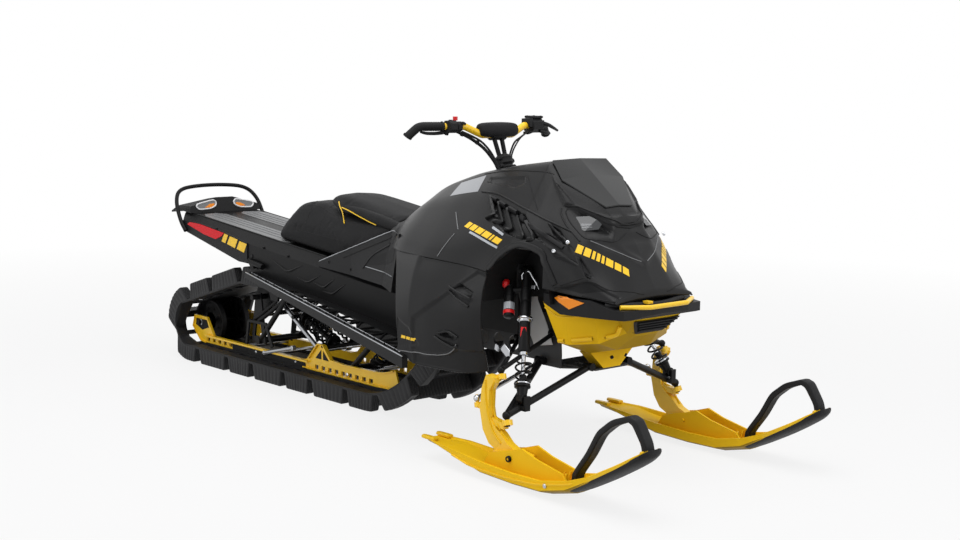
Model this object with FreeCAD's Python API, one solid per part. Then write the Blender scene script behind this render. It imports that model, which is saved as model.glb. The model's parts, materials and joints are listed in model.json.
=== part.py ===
import FreeCAD, Part
import math
import os
from FreeCAD import Vector

# Snowmobile, a mountain machine with a long deep-lugged track.
# Frame: +X forward, +Y to the rider's left, +Z up, millimetres, ground at Z = 0.
# It is drawn with the ski bolt at X = 1000 and centred fore and aft when it is saved.
# Every like pair is drawn for the right side (Y below 0) and mirrored.

# ---- driving dimensions ----------------------------------------------------
SKI_PIVOT_X = 1000.0          # ski bolt, fore and aft
SKI_PIVOT_Z = 85.0            # ski bolt above the ground
SKI_STANCE = 890.0            # from one ski's middle to the other's
SKI_REAR = 435.0              # ski tail behind its bolt
SKI_FRONT = 604.0             # ski tip ahead of its bolt
SKI_WIDTH = 158.0
SKI_WALL_GAP = 62.0           # between the two saddle walls of a ski
SKI_WALL = 8.0                # thickness of a saddle wall
SKI_BOLT_R = 6.0

KINGPIN_LOWER = Vector(936.0, -436.0, 196.0)
KINGPIN_UPPER = Vector(884.0, -416.0, 338.0)
KINGPIN_R = 8.0               # ball stud radius
KINGPIN_GAP = 0.5             # stud to bore
TIE_ROD_OUTER = Vector(790.0, -440.0, 246.0)
TIE_ROD_INNER = Vector(758.0, -128.0, 322.0)
TIE_ROD_R = 8.0

TRACK_WIDTH = 406.0
LUG_HEIGHT = 67.0
BELT = 9.0                    # belt thickness
LUG_PERIODS = 9               # each period is a short lug block and a long one
LUG_ROWS = (2, 3)             # drive pitches under a short block and under a long one
LUG_NOTCH = 38.0              # gap between two blocks at their tips
LUG_NOTCH_FOOT = 8.0          # the same gap at the belt
LUG_EDGE = 62.0               # width of the blocks along each edge
PADDLE = 16.0                 # thickness of the middle paddles at the tip
PADDLE_FOOT = 20.0            # the same at the belt
WINDOW_IN = 70.0              # belt windows: nearer edge from the centre plane
WINDOW_OUT = 133.0            # and farther edge
WINDOW_LONG = 67.0            # window length along the belt
REAR_AXLE_X = -1455.0
REAR_WHEEL_R = 98.0
DRIVE_AXLE_X = 150.0
DRIVE_AXLE_Z = 325.0
SPROCKET_R = 86.0
UPPER_WHEEL_X = -1010.0
UPPER_WHEEL_Z = 345.0
UPPER_WHEEL_R = 67.0
RAIL_BOW_X = -150.0           # where the rails begin to curve up
RAIL_BOW_R = 400.0            # radius of the curved rail front
RAIL_Y = 127.0                # middle of a slide rail from the centre plane
RAIL_T = 8.0
WHEEL_GAP = 0.25               # wheel rim to belt
AXLE_R = 12.0

TUNNEL_HALF = 214.0           # outer half width of the tunnel
TUNNEL_TOP_HALF = 172.0       # half width of its flat top
TUNNEL_BEVEL = 42.0
SHEET = 3.0                   # tunnel sheet
TUNNEL_REAR = -1500.0
TUNNEL_FRONT = 430.0
TUNNEL_TOP_REAR = 692.0       # height of the top at TUNNEL_REAR
TUNNEL_TOP_FRONT = 507.0      # height of the top at TUNNEL_FRONT
BOARD_REAR = -890.0
BOARD_FRONT = 390.0
BOARD_REAR_Z = 478.0
BOARD_FRONT_Z = 328.0
BOARD_REAR_HALF = 262.0
BOARD_FRONT_HALF = 442.0
BOARD_RAIL = 26.0             # width of the board's outer rail
BOARD_RAIL_H = 42.0

POST_TOP = Vector(443.0, 0.0, 1000.0)
POST_FOOT = Vector(520.0, 0.0, 805.0)
POST_R = 13.0
BAR_HALF = 352.0              # half width over the grip ends
BAR_Z = 1150.0
BAR_R = 13.0
PANEL = 4.0                   # body panel thickness
SEAM = 1.0                    # gap between body panels
SOFT_GAP = 0.3                # soft parts to their neighbours
track_end = REAR_AXLE_X - REAR_WHEEL_R - WHEEL_GAP - BELT - LUG_HEIGHT
CENTRE_X = (SKI_PIVOT_X + SKI_FRONT + track_end) / 2


# ---- helpers ---------------------------------------------------------------
def tunnel_top(x):
    """Height of the tunnel's top face at a station."""
    t = (x - TUNNEL_REAR) / (TUNNEL_FRONT - TUNNEL_REAR)
    return TUNNEL_TOP_REAR + t * (TUNNEL_TOP_FRONT - TUNNEL_TOP_REAR)


def board_z(x):
    """Height of the running board's top face at a station."""
    t = (x - BOARD_REAR) / (BOARD_FRONT - BOARD_REAR)
    return BOARD_REAR_Z + t * (BOARD_FRONT_Z - BOARD_REAR_Z)


def board_half(x):
    """Outer half width of the running board at a station."""
    t = (x - BOARD_REAR) / (BOARD_FRONT - BOARD_REAR)
    return BOARD_REAR_HALF + t * (BOARD_FRONT_HALF - BOARD_REAR_HALF)


def face_of(points):
    """Flat face bounded by a closed polygon."""
    return Part.Face(Part.makePolygon(list(points) + [points[0]]))


def prism_y(xz, y_low, y_high):
    """Polygon in the XZ plane, extruded from y_low to y_high."""
    points = [Vector(x, y_low, z) for x, z in xz]
    return face_of(points).extrude(Vector(0, y_high - y_low, 0))


def prism_z(xy, z_low, z_high):
    """Polygon in the XY plane, extruded from z_low to z_high."""
    points = [Vector(x, y, z_low) for x, y in xy]
    return face_of(points).extrude(Vector(0, 0, z_high - z_low))


def prism_x(yz, x_low, x_high):
    """Polygon in the YZ plane, extruded from x_low to x_high."""
    points = [Vector(x_low, y, z) for y, z in yz]
    return face_of(points).extrude(Vector(x_high - x_low, 0, 0))


def block(x0, x1, y0, y1, z0, z1):
    """Box between two corners."""
    return Part.makeBox(x1 - x0, y1 - y0, z1 - z0, Vector(x0, y0, z0))


def rod(start, end, radius, inner=0.0):
    """Round bar or tube from one point to another."""
    along = end - start
    shape = Part.makeCylinder(radius, along.Length, start, along)
    if inner > 0:
        shape = shape.cut(Part.makeCylinder(inner, along.Length, start, along))
    return shape


def disc(x, z, y_low, y_high, radius):
    """Cylinder across the machine."""
    return Part.makeCylinder(radius, y_high - y_low, Vector(x, y_low, z), Vector(0, 1, 0))


def bent_tube(points, radius, bend):
    """Tube along straight runs joined by tangent arcs."""
    edges = []
    start = points[0]
    for before, corner, after in zip(points, points[1:], points[2:]):
        to_before = (before - corner).normalize()
        to_after = (after - corner).normalize()
        half_turn = (math.pi - to_before.getAngle(to_after)) / 2
        reach = bend * math.tan(half_turn)
        arc_in = corner + to_before * reach
        arc_out = corner + to_after * reach
        middle_way = (to_before + to_after).normalize()
        centre = corner + middle_way * (bend / math.cos(half_turn))
        arc_mid = centre - middle_way * bend
        edges.append(Part.LineSegment(start, arc_in).toShape())
        edges.append(Part.Arc(arc_in, arc_mid, arc_out).toShape())
        start = arc_out
    edges.append(Part.LineSegment(start, points[-1]).toShape())
    path = Part.Wire(edges)
    ring = Part.Wire(Part.makeCircle(radius, points[0], points[1] - points[0]))
    return path.makePipeShell([ring], True, False)


def loft(sections):
    """Ruled solid through closed polygons with equal numbers of corners."""
    wires = [Part.makePolygon(list(points) + [points[0]]) for points in sections]
    return Part.makeLoft(wires, True, True)


def fuse(shapes):
    """One solid from touching pieces."""
    return shapes[0].multiFuse(shapes[1:]).removeSplitter()


def mirrored(shape):
    """The same piece on the other side of the machine."""
    return shape.mirror(Vector(0, 0, 0), Vector(0, 1, 0))


def save(node, *solids):
    """Write one node's STEP file, moved so that the whole machine is centred on X = 0."""
    shape = solids[0] if len(solids) == 1 else Part.makeCompound(list(solids))
    shape.translated(Vector(-CENTRE_X, 0, 0)).exportStep("parts/" + node + ".step")


def save_pair(node, shape):
    """Write the right and the left piece as two nodes."""
    save(node + "_right", shape)
    save(node + "_left", mirrored(shape))


def both(shape):
    """The right and the left piece, to share one node."""
    return [shape, mirrored(shape)]


os.makedirs("parts", exist_ok=True)

# ---- track -----------------------------------------------------------------
# The belt runs round four circles: rear wheels, upper wheels, drive sprockets
# and the curved front of the rails. Columns: x, z, radius of the belt's inner face.
rear_axle_z = LUG_HEIGHT + BELT + WHEEL_GAP + REAR_WHEEL_R
belt_circles = [
    (REAR_AXLE_X, rear_axle_z, REAR_WHEEL_R + WHEEL_GAP),
    (UPPER_WHEEL_X, UPPER_WHEEL_Z, UPPER_WHEEL_R + WHEEL_GAP),
    (DRIVE_AXLE_X, DRIVE_AXLE_Z, SPROCKET_R + WHEEL_GAP),
    (RAIL_BOW_X, LUG_HEIGHT + BELT + RAIL_BOW_R, RAIL_BOW_R),
]


def belt_runs(grow):
    """Tangent lines of the loop, moved outwards by grow, clockwise from the rear."""
    runs = []
    count = len(belt_circles)
    for i in range(count):
        x1, z1, r1 = belt_circles[i]
        x2, z2, r2 = belt_circles[(i + 1) % count]
        way = math.atan2(z2 - z1, x2 - x1)
        lean = math.asin((r1 - r2) / math.hypot(x2 - x1, z2 - z1))
        normal = way + math.pi / 2 - lean
        nx, nz = math.cos(normal), math.sin(normal)
        start = Vector(x1 + (r1 + grow) * nx, 0, z1 + (r1 + grow) * nz)
        end = Vector(x2 + (r2 + grow) * nx, 0, z2 + (r2 + grow) * nz)
        runs.append((start, end, normal))
    return runs


def belt_face(grow):
    """Face inside the loop, at a distance outside the belt's inner face."""
    runs = belt_runs(grow)
    edges = []
    for i, (start, end, normal) in enumerate(runs):
        edges.append(Part.LineSegment(start, end).toShape())
        x, z, radius = belt_circles[(i + 1) % len(runs)]
        next_start, _, next_normal = runs[(i + 1) % len(runs)]
        turn = (normal - next_normal) % (2 * math.pi)
        middle = normal - turn / 2
        reach = radius + grow
        mid = Vector(x + reach * math.cos(middle), 0, z + reach * math.sin(middle))
        edges.append(Part.Arc(end, mid, next_start).toShape())
    return Part.Face(Part.Wire(edges))


def belt_stations(count, first):
    """Points, outward directions and angles at equal steps round the belt."""
    pieces = []
    runs = belt_runs(BELT)
    for i, (start, end, normal) in enumerate(runs):
        pieces.append(("line", start, end, normal, (end - start).Length))
        x, z, radius = belt_circles[(i + 1) % len(runs)]
        turn = (normal - runs[(i + 1) % len(runs)][2]) % (2 * math.pi)
        pieces.append(("arc", (x, z, radius + BELT), normal, turn, turn * (radius + BELT)))
    total = sum(piece[-1] for piece in pieces)
    stations = []
    for k in range(count):
        at = (first + k * total / count) % total
        for piece in pieces:
            if at <= piece[-1]:
                break
            at -= piece[-1]
        if piece[0] == "line":
            point = piece[1] + (piece[2] - piece[1]) * (at / piece[-1])
            angle = piece[3]
        else:
            x, z, reach = piece[1]
            angle = piece[2] - at / reach
            point = Vector(x + reach * math.cos(angle), 0, z + reach * math.sin(angle))
        stations.append((point, angle))
    return stations, total


def across_belt(point, angle, out_low, out_high, half_low, half_high, y_low, y_high):
    """Prism standing on the belt: half lengths at its foot and its tip."""
    out = Vector(math.cos(angle), 0, math.sin(angle))
    along = Vector(math.sin(angle), 0, -math.cos(angle))
    foot = point + out * out_low
    tip = point + out * out_high
    corners = [foot - along * half_low, foot + along * half_low,
               tip + along * half_high, tip - along * half_high]
    corners = [Vector(c.x, y_low, c.z) for c in corners]
    return face_of(corners).extrude(Vector(0, y_high - y_low, 0))


half_track = TRACK_WIDTH / 2
belt = belt_face(BELT).cut(belt_face(0.0))
belt = belt.extrude(Vector(0, TRACK_WIDTH, 0))
belt.translate(Vector(0, -half_track, 0))
edge_band = belt_face(BELT + LUG_HEIGHT).cut(belt_face(BELT))
period = LUG_ROWS[0] + LUG_ROWS[1]
rows = LUG_PERIODS * period
FIRST_LUG = 60.0              # where the first notch falls on the run behind the upper wheels
row_stations, belt_length = belt_stations(rows, FIRST_LUG)
notches = []
for row, (point, angle) in enumerate(row_stations):
    if row % period in (0, LUG_ROWS[0]):
        notches.append(across_belt(point, angle, 4.0, LUG_HEIGHT + 6, LUG_NOTCH_FOOT / 2,
                                   LUG_NOTCH / 2, -half_track - 1, half_track + 1))
side_band = edge_band.extrude(Vector(0, LUG_EDGE, 0))
side_band.translate(Vector(0, -half_track, 0))
side_lugs = side_band.cut(Part.makeCompound(notches))
paddles = []
for row, (point, angle) in enumerate(row_stations):
    if row % period in (1, LUG_ROWS[0] + 1):
        paddles.append(across_belt(point, angle, -1.0, LUG_HEIGHT - 0.5, PADDLE_FOOT / 2, PADDLE / 2,
                                   -half_track + LUG_EDGE - 4, half_track - LUG_EDGE + 4))
windows = []
for point, angle in belt_stations(rows, FIRST_LUG + belt_length / rows / 2)[0]:
    window = across_belt(point, angle, -BELT - 14, 2.0, WINDOW_LONG / 2, WINDOW_LONG / 2,
                         WINDOW_IN, WINDOW_OUT)
    windows += both(window)
belt = belt.cut(Part.makeCompound(windows))
track = belt.multiFuse([side_lugs, mirrored(side_lugs)] + paddles)
save("track", track)

# ---- wheels and axles of the track -----------------------------------------
WHEEL_T = 22.0
WHEEL_Y = 52.0                # inner face of a rear wheel from the centre plane
wheel_rim = 14.0


def wheel(x, z, y_low, radius, spokes, axle_r):
    """Spoked idler wheel with a rim, a hub and flat spokes."""
    hub_r = axle_r + 14.0
    rim = disc(x, z, y_low, y_low + WHEEL_T, radius)
    rim = rim.cut(disc(x, z, y_low - 1, y_low + WHEEL_T + 1, radius - wheel_rim))
    hub = disc(x, z, y_low, y_low + WHEEL_T, hub_r)
    pieces = [rim, hub]
    for k in range(spokes):
        angle = 2 * math.pi * k / spokes
        spoke = Part.makeBox(radius - wheel_rim - hub_r + 8, 10.0, 11.0, Vector(hub_r - 4, y_low + 6, -5.5))
        spoke.rotate(Vector(0, 0, 0), Vector(0, 1, 0), math.degrees(angle))
        spoke.translate(Vector(x, 0, z))
        pieces.append(spoke)
    return fuse(pieces).cut(disc(x, z, y_low - 1, y_low + WHEEL_T + 1, axle_r))


rail_inner = RAIL_Y - RAIL_T / 2
rail_outer = RAIL_Y + RAIL_T / 2
wheels_rear = wheel(REAR_AXLE_X, rear_axle_z, -WHEEL_Y - WHEEL_T, REAR_WHEEL_R, 8, AXLE_R)
rear_axle = disc(REAR_AXLE_X, rear_axle_z, -rail_outer - 16, rail_outer + 16, AXLE_R)
save("rear_wheels", fuse([rear_axle, wheels_rear, mirrored(wheels_rear)]))
wheels_upper = wheel(UPPER_WHEEL_X, UPPER_WHEEL_Z, -WHEEL_Y - WHEEL_T, UPPER_WHEEL_R, 6, AXLE_R)
upper_axle = disc(UPPER_WHEEL_X, UPPER_WHEEL_Z, -rail_outer - 16, rail_outer + 16, AXLE_R)
save("upper_wheels", fuse([upper_axle, wheels_upper, mirrored(wheels_upper)]))
SPROCKET_Y = 62.0
sprocket = disc(DRIVE_AXLE_X, DRIVE_AXLE_Z, -SPROCKET_Y - WHEEL_T, -SPROCKET_Y, SPROCKET_R)
tunnel_inner = TUNNEL_HALF - SHEET
drive_shaft = disc(DRIVE_AXLE_X, DRIVE_AXLE_Z, -tunnel_inner, tunnel_inner, 16.0)
save("drive_axle", fuse([drive_shaft, sprocket, mirrored(sprocket)]))

# ---- slide rails ------------------------------------------------------------
# Flat plates with a flange and a plastic slider below, a slotted plate at the axle,
# a triangular bracket at mid length and a bow that follows the belt up in front.
belt_inside = LUG_HEIGHT + BELT
SLIDER = 10.0
rail_foot = belt_inside + SLIDER
RAIL_TOP = 124.0
bow_centre_z = belt_inside + RAIL_BOW_R
bow_angle = math.radians(22.0)


def bow_point(radius, angle):
    """Point on the curved front of the rail."""
    return Vector(RAIL_BOW_X + radius * math.sin(angle), 0, bow_centre_z - radius * math.cos(angle))


rail_low_r = RAIL_BOW_R - SLIDER
rail_top_r = RAIL_BOW_R - 74.0
plate_line = [
    (RAIL_BOW_X, bow_centre_z - rail_top_r), (-352, RAIL_TOP + 20), (-440, RAIL_TOP + 26),
    (-492, 206), (-528, 206),
    (-596, RAIL_TOP + 12), (-640, RAIL_TOP), (-1340, RAIL_TOP), (-1395, 200), (-1500, 200),
    (-1512, 150), (-1440, rail_foot), (RAIL_BOW_X, rail_foot),
]
edges = []
low_end = bow_point(rail_low_r, bow_angle)
top_end = bow_point(rail_top_r, bow_angle)
flat = [Vector(x, 0, z) for x, z in plate_line]
for a, b in zip(flat, flat[1:]):
    edges.append(Part.LineSegment(a, b).toShape())
edges.append(Part.Arc(flat[-1], bow_point(rail_low_r, bow_angle / 2), low_end).toShape())
edges.append(Part.LineSegment(low_end, top_end).toShape())
edges.append(Part.Arc(top_end, bow_point(rail_top_r, bow_angle / 2), flat[0]).toShape())
rail = Part.Face(Part.Wire(edges)).extrude(Vector(0, RAIL_T, 0))
rail.translate(Vector(0, -rail_outer, 0))
flange = block(-1400, -600, -rail_outer - 14, -rail_outer, RAIL_TOP - 8, RAIL_TOP)
rail_holes = []
for k in range(9):
    rail_holes.append(block(-560 + 46 * k, -536 + 46 * k, -rail_outer - 1, -rail_inner + 1, 96, 114))
for k in range(5):
    rail_holes.append(block(-1398 + 46 * k, -1376 + 46 * k, -rail_outer - 1, -rail_inner + 1, 94, 110))
axle_slot = block(REAR_AXLE_X - 40, REAR_AXLE_X + 14, -rail_outer - 1, -rail_inner + 1,
                  rear_axle_z - AXLE_R - 0.3, rear_axle_z + AXLE_R + 0.3)
rail = fuse([rail, flange]).cut(Part.makeCompound(rail_holes + [axle_slot]))
save("slide_rails", *both(rail))
slider_face = belt_face(-WHEEL_GAP).common(face_of([Vector(x, 0, z) for x, z in [
    (-1400, 0), (0, 0), (0, rail_foot + 40), (RAIL_BOW_X, rail_foot), (-1400, rail_foot)]]))
slider = slider_face.cut(Part.Face(Part.Wire(Part.makeCircle(rail_low_r, Vector(RAIL_BOW_X, 0, bow_centre_z),
                                                             Vector(0, 1, 0)))))
slider = slider.extrude(Vector(0, 22, 0))
slider.translate(Vector(0, -RAIL_Y - 11, 0))
save("rail_sliders", *both(slider))

# ---- skid frame cross parts, arms and shocks --------------------------------
cross_tubes = []
CROSS_TUBES = [(-913.0, 104.0, 9.0), (-510.0, 182.0, 9.0), (-1120.0, 106.0, 9.0), (-290.0, 118.0, 9.0)]
for x, z, radius in CROSS_TUBES:
    cross_tubes.append(disc(x, z, -rail_inner, rail_inner, radius))
save("rail_cross_tubes", *cross_tubes)
ARM_R = 12.0
arm_y = rail_inner - 16.0


def swing_arm(foot_x, foot_z, head_x, head_z, sleeve_r):
    """Pair of tubes between a sleeve at the rails and a sleeve at the tunnel."""
    foot = disc(foot_x, foot_z, -rail_inner + 0.3, rail_inner - 0.3, sleeve_r)
    head = disc(head_x, head_z, -tunnel_inner + 0.3, tunnel_inner - 0.3, sleeve_r)
    right = rod(Vector(foot_x, -arm_y, foot_z), Vector(head_x, -arm_y - 30, head_z), ARM_R)
    return fuse([foot, head, right, mirrored(right)])


REAR_ARM_FOOT = (-1000.0, 150.0)
REAR_ARM_HEAD = (-742.0, 389.0)
FRONT_ARM_FOOT = (-340.0, 128.0)
FRONT_ARM_HEAD = (-120.0, 300.0)
arm = swing_arm(*REAR_ARM_FOOT, *REAR_ARM_HEAD, 15.0)
carrier = prism_y([(-1060, 142), (-1030, 364), (-990, 364), (-952, 142)], -arm_y - 6, -arm_y + 2)
carrier = carrier.cut(prism_y([(-1038, 168), (-1024, 240), (-996, 240), (-978, 168)], -arm_y - 9, -arm_y + 5))
tie = disc(-1009, 260, -arm_y - 6, arm_y + 6, 7.0)
REAR_SHOCK_TOP = (-830.0, 300.0)
CENTRE_SHOCK_TOP = (-186.0, 248.0)
PIN_R = 9.0
pin = disc(*REAR_SHOCK_TOP, -arm_y - 18, arm_y + 18, PIN_R)
rear_arm = fuse([arm, carrier, mirrored(carrier), tie, pin])
save("rear_swing_arm", rear_arm.cut(disc(UPPER_WHEEL_X, UPPER_WHEEL_Z, -200, 200, AXLE_R + 0.2)))
pin = disc(*CENTRE_SHOCK_TOP, -arm_y - 18, arm_y + 18, PIN_R)
save("front_swing_arm", fuse([swing_arm(*FRONT_ARM_FOOT, *FRONT_ARM_HEAD, 13.0), pin]))


def damper(top, bottom, body_r, shaft_r, share, pin_way, pin_r):
    """Shock absorber: body over part of its length, shaft and eyes round the pins."""
    way = (bottom - top).normalize()
    joint = top + (bottom - top) * share
    half = body_r * 0.8
    eye_r = pin_r + 7.0
    pieces = [rod(top + way * pin_r, joint, body_r), rod(joint, bottom - way * pin_r, shaft_r)]
    bores = []
    for end in (top, bottom):
        pieces.append(rod(end - pin_way * half, end + pin_way * half, eye_r))
        bores.append(rod(end - pin_way * 60, end + pin_way * 60, pin_r + 0.2))
    return fuse(pieces).cut(Part.makeCompound(bores))


def coil_sleeve(start, end, radius, wire, bore):
    """Coil spring as a sleeve with one groove for each turn."""
    along = end - start
    turns = int(along.Length // (wire * 1.9))
    step = along.Length / turns
    profile = [Vector(bore, 0, 0)]
    for k in range(turns):
        base = k * step
        profile += [Vector(radius - wire * 0.7, 0, base), Vector(radius, 0, base + step * 0.25),
                    Vector(radius, 0, base + step * 0.75)]
    profile += [Vector(radius - wire * 0.7, 0, along.Length), Vector(bore, 0, along.Length)]
    shape = face_of(profile).revolve(Vector(0, 0, 0), Vector(0, 0, 1), 360)
    shape.Placement = FreeCAD.Placement(start, FreeCAD.Rotation(Vector(0, 0, 1), along))
    return shape


ACROSS = Vector(0, 1, 0)
rear_top = Vector(REAR_SHOCK_TOP[0], 0, REAR_SHOCK_TOP[1])
rear_low = Vector(CROSS_TUBES[1][0], 0, CROSS_TUBES[1][1])
centre_top = Vector(CENTRE_SHOCK_TOP[0], 0, CENTRE_SHOCK_TOP[1])
centre_low = Vector(CROSS_TUBES[3][0], 0, CROSS_TUBES[3][1])
shocks = [damper(rear_top, rear_low, 20.0, 7.0, 0.6, ACROSS, PIN_R),
          damper(centre_top, centre_low, 18.0, 7.0, 0.6, ACROSS, PIN_R)]
save("track_shocks", *shocks)

# ---- tunnel -----------------------------------------------------------------
top_slope = (TUNNEL_TOP_FRONT - TUNNEL_TOP_REAR) / (TUNNEL_FRONT - TUNNEL_REAR)
DEEP = 330.0                  # blank depth before the lower edge is trimmed


def tunnel_section(half, top_half, bevel, drop):
    """Inverted U section at the rear end, drop below the top face."""
    high = TUNNEL_TOP_REAR - drop
    low = TUNNEL_TOP_REAR - DEEP
    return [(-half, low), (-half, high - bevel), (-top_half, high),
            (top_half, high), (half, high - bevel), (half, low)]


length = TUNNEL_FRONT - TUNNEL_REAR
sweep = Vector(length, 0, top_slope * length)
outer = face_of([Vector(TUNNEL_REAR, y, z) for y, z in
                 tunnel_section(TUNNEL_HALF, TUNNEL_TOP_HALF, TUNNEL_BEVEL, 0)]).extrude(sweep)
inner_points = tunnel_section(TUNNEL_HALF - SHEET, TUNNEL_TOP_HALF - SHEET * 0.4, TUNNEL_BEVEL, SHEET)
inner_points[0] = (inner_points[0][0], inner_points[0][1] - 5)
inner_points[-1] = (inner_points[-1][0], inner_points[-1][1] - 5)
inner = face_of([Vector(TUNNEL_REAR, y, z) for y, z in inner_points]).extrude(sweep)
BOARD_T = 8.0
SIDE_LOW = 280.0              # lower edge of the sides ahead of the front arm
TAB_LOW = 370.0               # lower end of the hanger tabs of the rear arm
below = prism_y([(-1600, 698), (-1512, 696), (-1462, 640), (-1424, 602), (-1000, 511), (-932, 509),
                 (BOARD_REAR, BOARD_REAR_Z - BOARD_T),
                 (-796, board_z(-796) - BOARD_T), (-766, TAB_LOW),
                 (-718, TAB_LOW), (-688, board_z(-688) - BOARD_T),
                 (-190, board_z(-190) - BOARD_T), (-150, SIDE_LOW),
                 (260, SIDE_LOW), (BOARD_FRONT, BOARD_FRONT_Z - BOARD_T),
                 (500, BOARD_FRONT_Z - BOARD_T), (500, 0), (-1600, 0)], -400, 400)
tunnel = outer.cut(inner).cut(below)
ANCHOR_R = 13.0
ANCHORS = [(-1240.0, 105.0), (-960.0, 105.0)]
for x, y in ANCHORS:
    for side in (-1, 1):
        through = Vector(-top_slope, 0, 1)
        hole = Part.makeCylinder(ANCHOR_R, 40, Vector(x, side * y, tunnel_top(x)) - through * 20, through)
        tunnel = tunnel.cut(hole)
save("tunnel", tunnel)

# ---- running boards ---------------------------------------------------------
# An inner strip, an open truss and an outer rail that lean in towards the rear.
board_slope = (BOARD_FRONT_Z - BOARD_REAR_Z) / (BOARD_FRONT - BOARD_REAR)
outline = [(BOARD_REAR, -TUNNEL_HALF), (BOARD_FRONT, -TUNNEL_HALF), (BOARD_FRONT, -BOARD_FRONT_HALF),
           (BOARD_REAR, -BOARD_REAR_HALF)]
BOARD_DEEP = 400.0
blank = prism_z(outline, BOARD_FRONT_Z - BOARD_DEEP, BOARD_REAR_Z + 40)
under_top = prism_y([(BOARD_REAR, BOARD_REAR_Z), (BOARD_FRONT, BOARD_FRONT_Z),
                     (BOARD_FRONT, BOARD_FRONT_Z - BOARD_T), (BOARD_REAR, BOARD_REAR_Z - 8)], -500, 0)
plate = blank.common(under_top)
TRUSS_BAYS = 11
TRUSS_BAR = 9.0
windows = []
first_x = BOARD_REAR + 330
step = (BOARD_FRONT - 40 - first_x) / TRUSS_BAYS
for k in range(TRUSS_BAYS):
    x0 = first_x + k * step
    x1 = x0 + step
    inside = [-board_half(x) + BOARD_RAIL + (0.46 * (board_half(x) - TUNNEL_HALF)) for x in (x0, x1)]
    outside = [-board_half(x) + BOARD_RAIL for x in (x0, x1)]
    bar = TRUSS_BAR / 2
    if k % 2:
        windows.append([(x0 + bar, inside[0]), (x1 - 2 * bar, inside[1]), (x0 + bar, outside[0] + bar)])
        windows.append([(x1 - bar, outside[1]), (x0 + 2 * bar, outside[0]), (x1 - bar, inside[1] - bar)])
    else:
        windows.append([(x0 + bar, inside[0] - bar), (x0 + bar, outside[0]), (x1 - 2 * bar, outside[1])])
        windows.append([(x0 + 2 * bar, inside[0]), (x1 - bar, inside[1]), (x1 - bar, outside[1] + bar)])
cuts = [prism_z(points, 0, 700) for points in windows]
plate = plate.cut(Part.makeCompound(cuts))
rail_outline = [(BOARD_REAR, -BOARD_REAR_HALF), (BOARD_REAR, -BOARD_REAR_HALF + BOARD_RAIL),
                (BOARD_FRONT, -BOARD_FRONT_HALF + BOARD_RAIL), (BOARD_FRONT, -BOARD_FRONT_HALF)]
edge_rail = prism_z(rail_outline, 0, 700).common(prism_y(
    [(BOARD_REAR, BOARD_REAR_Z), (BOARD_FRONT, BOARD_FRONT_Z), (BOARD_FRONT, BOARD_FRONT_Z - BOARD_RAIL_H),
     (BOARD_REAR, BOARD_REAR_Z - BOARD_RAIL_H * 0.5)], -500, 0))
save_pair("running_board", fuse([plate, edge_rail]))

# ---- tail: side covers, lamp panel, lamps, reflectors and grab hoop ---------
COVER_T = 5.0
cover_y = TUNNEL_HALF + COVER_T
cover_line = [(-1466, 654), (-1424, 604), (-1000, 512), (-937, 511),
              (-937, 600), (-1112, 630), (-1314, 653), (-1404, 656)]
side_cover = prism_y(cover_line, -cover_y, -TUNNEL_HALF)
save("tail_side_covers", *both(side_cover))
reflector_line = [(-1416, 640), (-1398, 651), (-1314, 649), (-1117, 626),
                  (-1134, 611), (-1182, 593), (-1281, 607)]
reflector = prism_y(reflector_line, -cover_y - 3, -cover_y)
save("rear_reflectors", *both(reflector))
# The lamp panel stands across the tunnel: its profile, then its crowned outline.
PANEL_FOOT = -1440.0          # front foot of the lamp panel
PANEL_CREST = -1455.0         # top edge of its front face
CREST_Z = 753.0
panel_line = [(-1604, 680), (TUNNEL_REAR, tunnel_top(TUNNEL_REAR)), (PANEL_FOOT, tunnel_top(PANEL_FOOT)),
              (PANEL_CREST, CREST_Z), (-1485, 746), (-1604, 687)]
crown_line = [(-190, 660), (-190, 706), (-183, 716), (-45, CREST_Z),
              (45, CREST_Z), (183, 716), (190, 706), (190, 660)]
tail_panel = prism_y(panel_line, -190, 190).common(prism_x(crown_line, -1620, -1400))
lamp_outline = [(-156, 715), (-148, 726), (-61, 742), (-48, 731), (-51, 716), (-80, 703), (-142, 700)]
LAMP_DEEP = 8.0               # lamps sunk into the front face
LAMP_PROUD = 1.5              # and standing out of it
lamp_slab = prism_y([(PANEL_FOOT - LAMP_DEEP, 686), (PANEL_CREST - LAMP_DEEP, CREST_Z),
                     (PANEL_CREST + LAMP_PROUD, CREST_Z), (PANEL_FOOT + LAMP_PROUD, 686)], -200, 200)
lamp = prism_x(lamp_outline, -1500, -1400).common(lamp_slab)
tail_panel = tail_panel.cut(Part.makeCompound(both(lamp)))
save("tail_panel", tail_panel)
save("tail_lamps", *both(lamp))
HOOP_R = 9.0
STUB_R = 12.0                 # plugged tube ends ahead of the side covers
hoop_y = cover_y + HOOP_R + 0.2
hoop_right = [Vector(-1420, -hoop_y, 610), Vector(-1464, -hoop_y, 652), Vector(-1508, 2 - hoop_y, 734),
              Vector(-1562, -176, 791)]
hoop_left = [Vector(p.x, -p.y, p.z) for p in reversed(hoop_right)]
hoop = bent_tube(hoop_right + hoop_left, HOOP_R, 44.0)
stub_y = TUNNEL_HALF + STUB_R + 0.2
stub_rear = Vector(-896, -stub_y, 521)
stub_front = Vector(-806, -stub_y, 509)
stub = fuse([rod(stub_rear, stub_front, STUB_R), Part.makeSphere(STUB_R, stub_front)])
save("rear_bumper", hoop, *both(stub))

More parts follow.
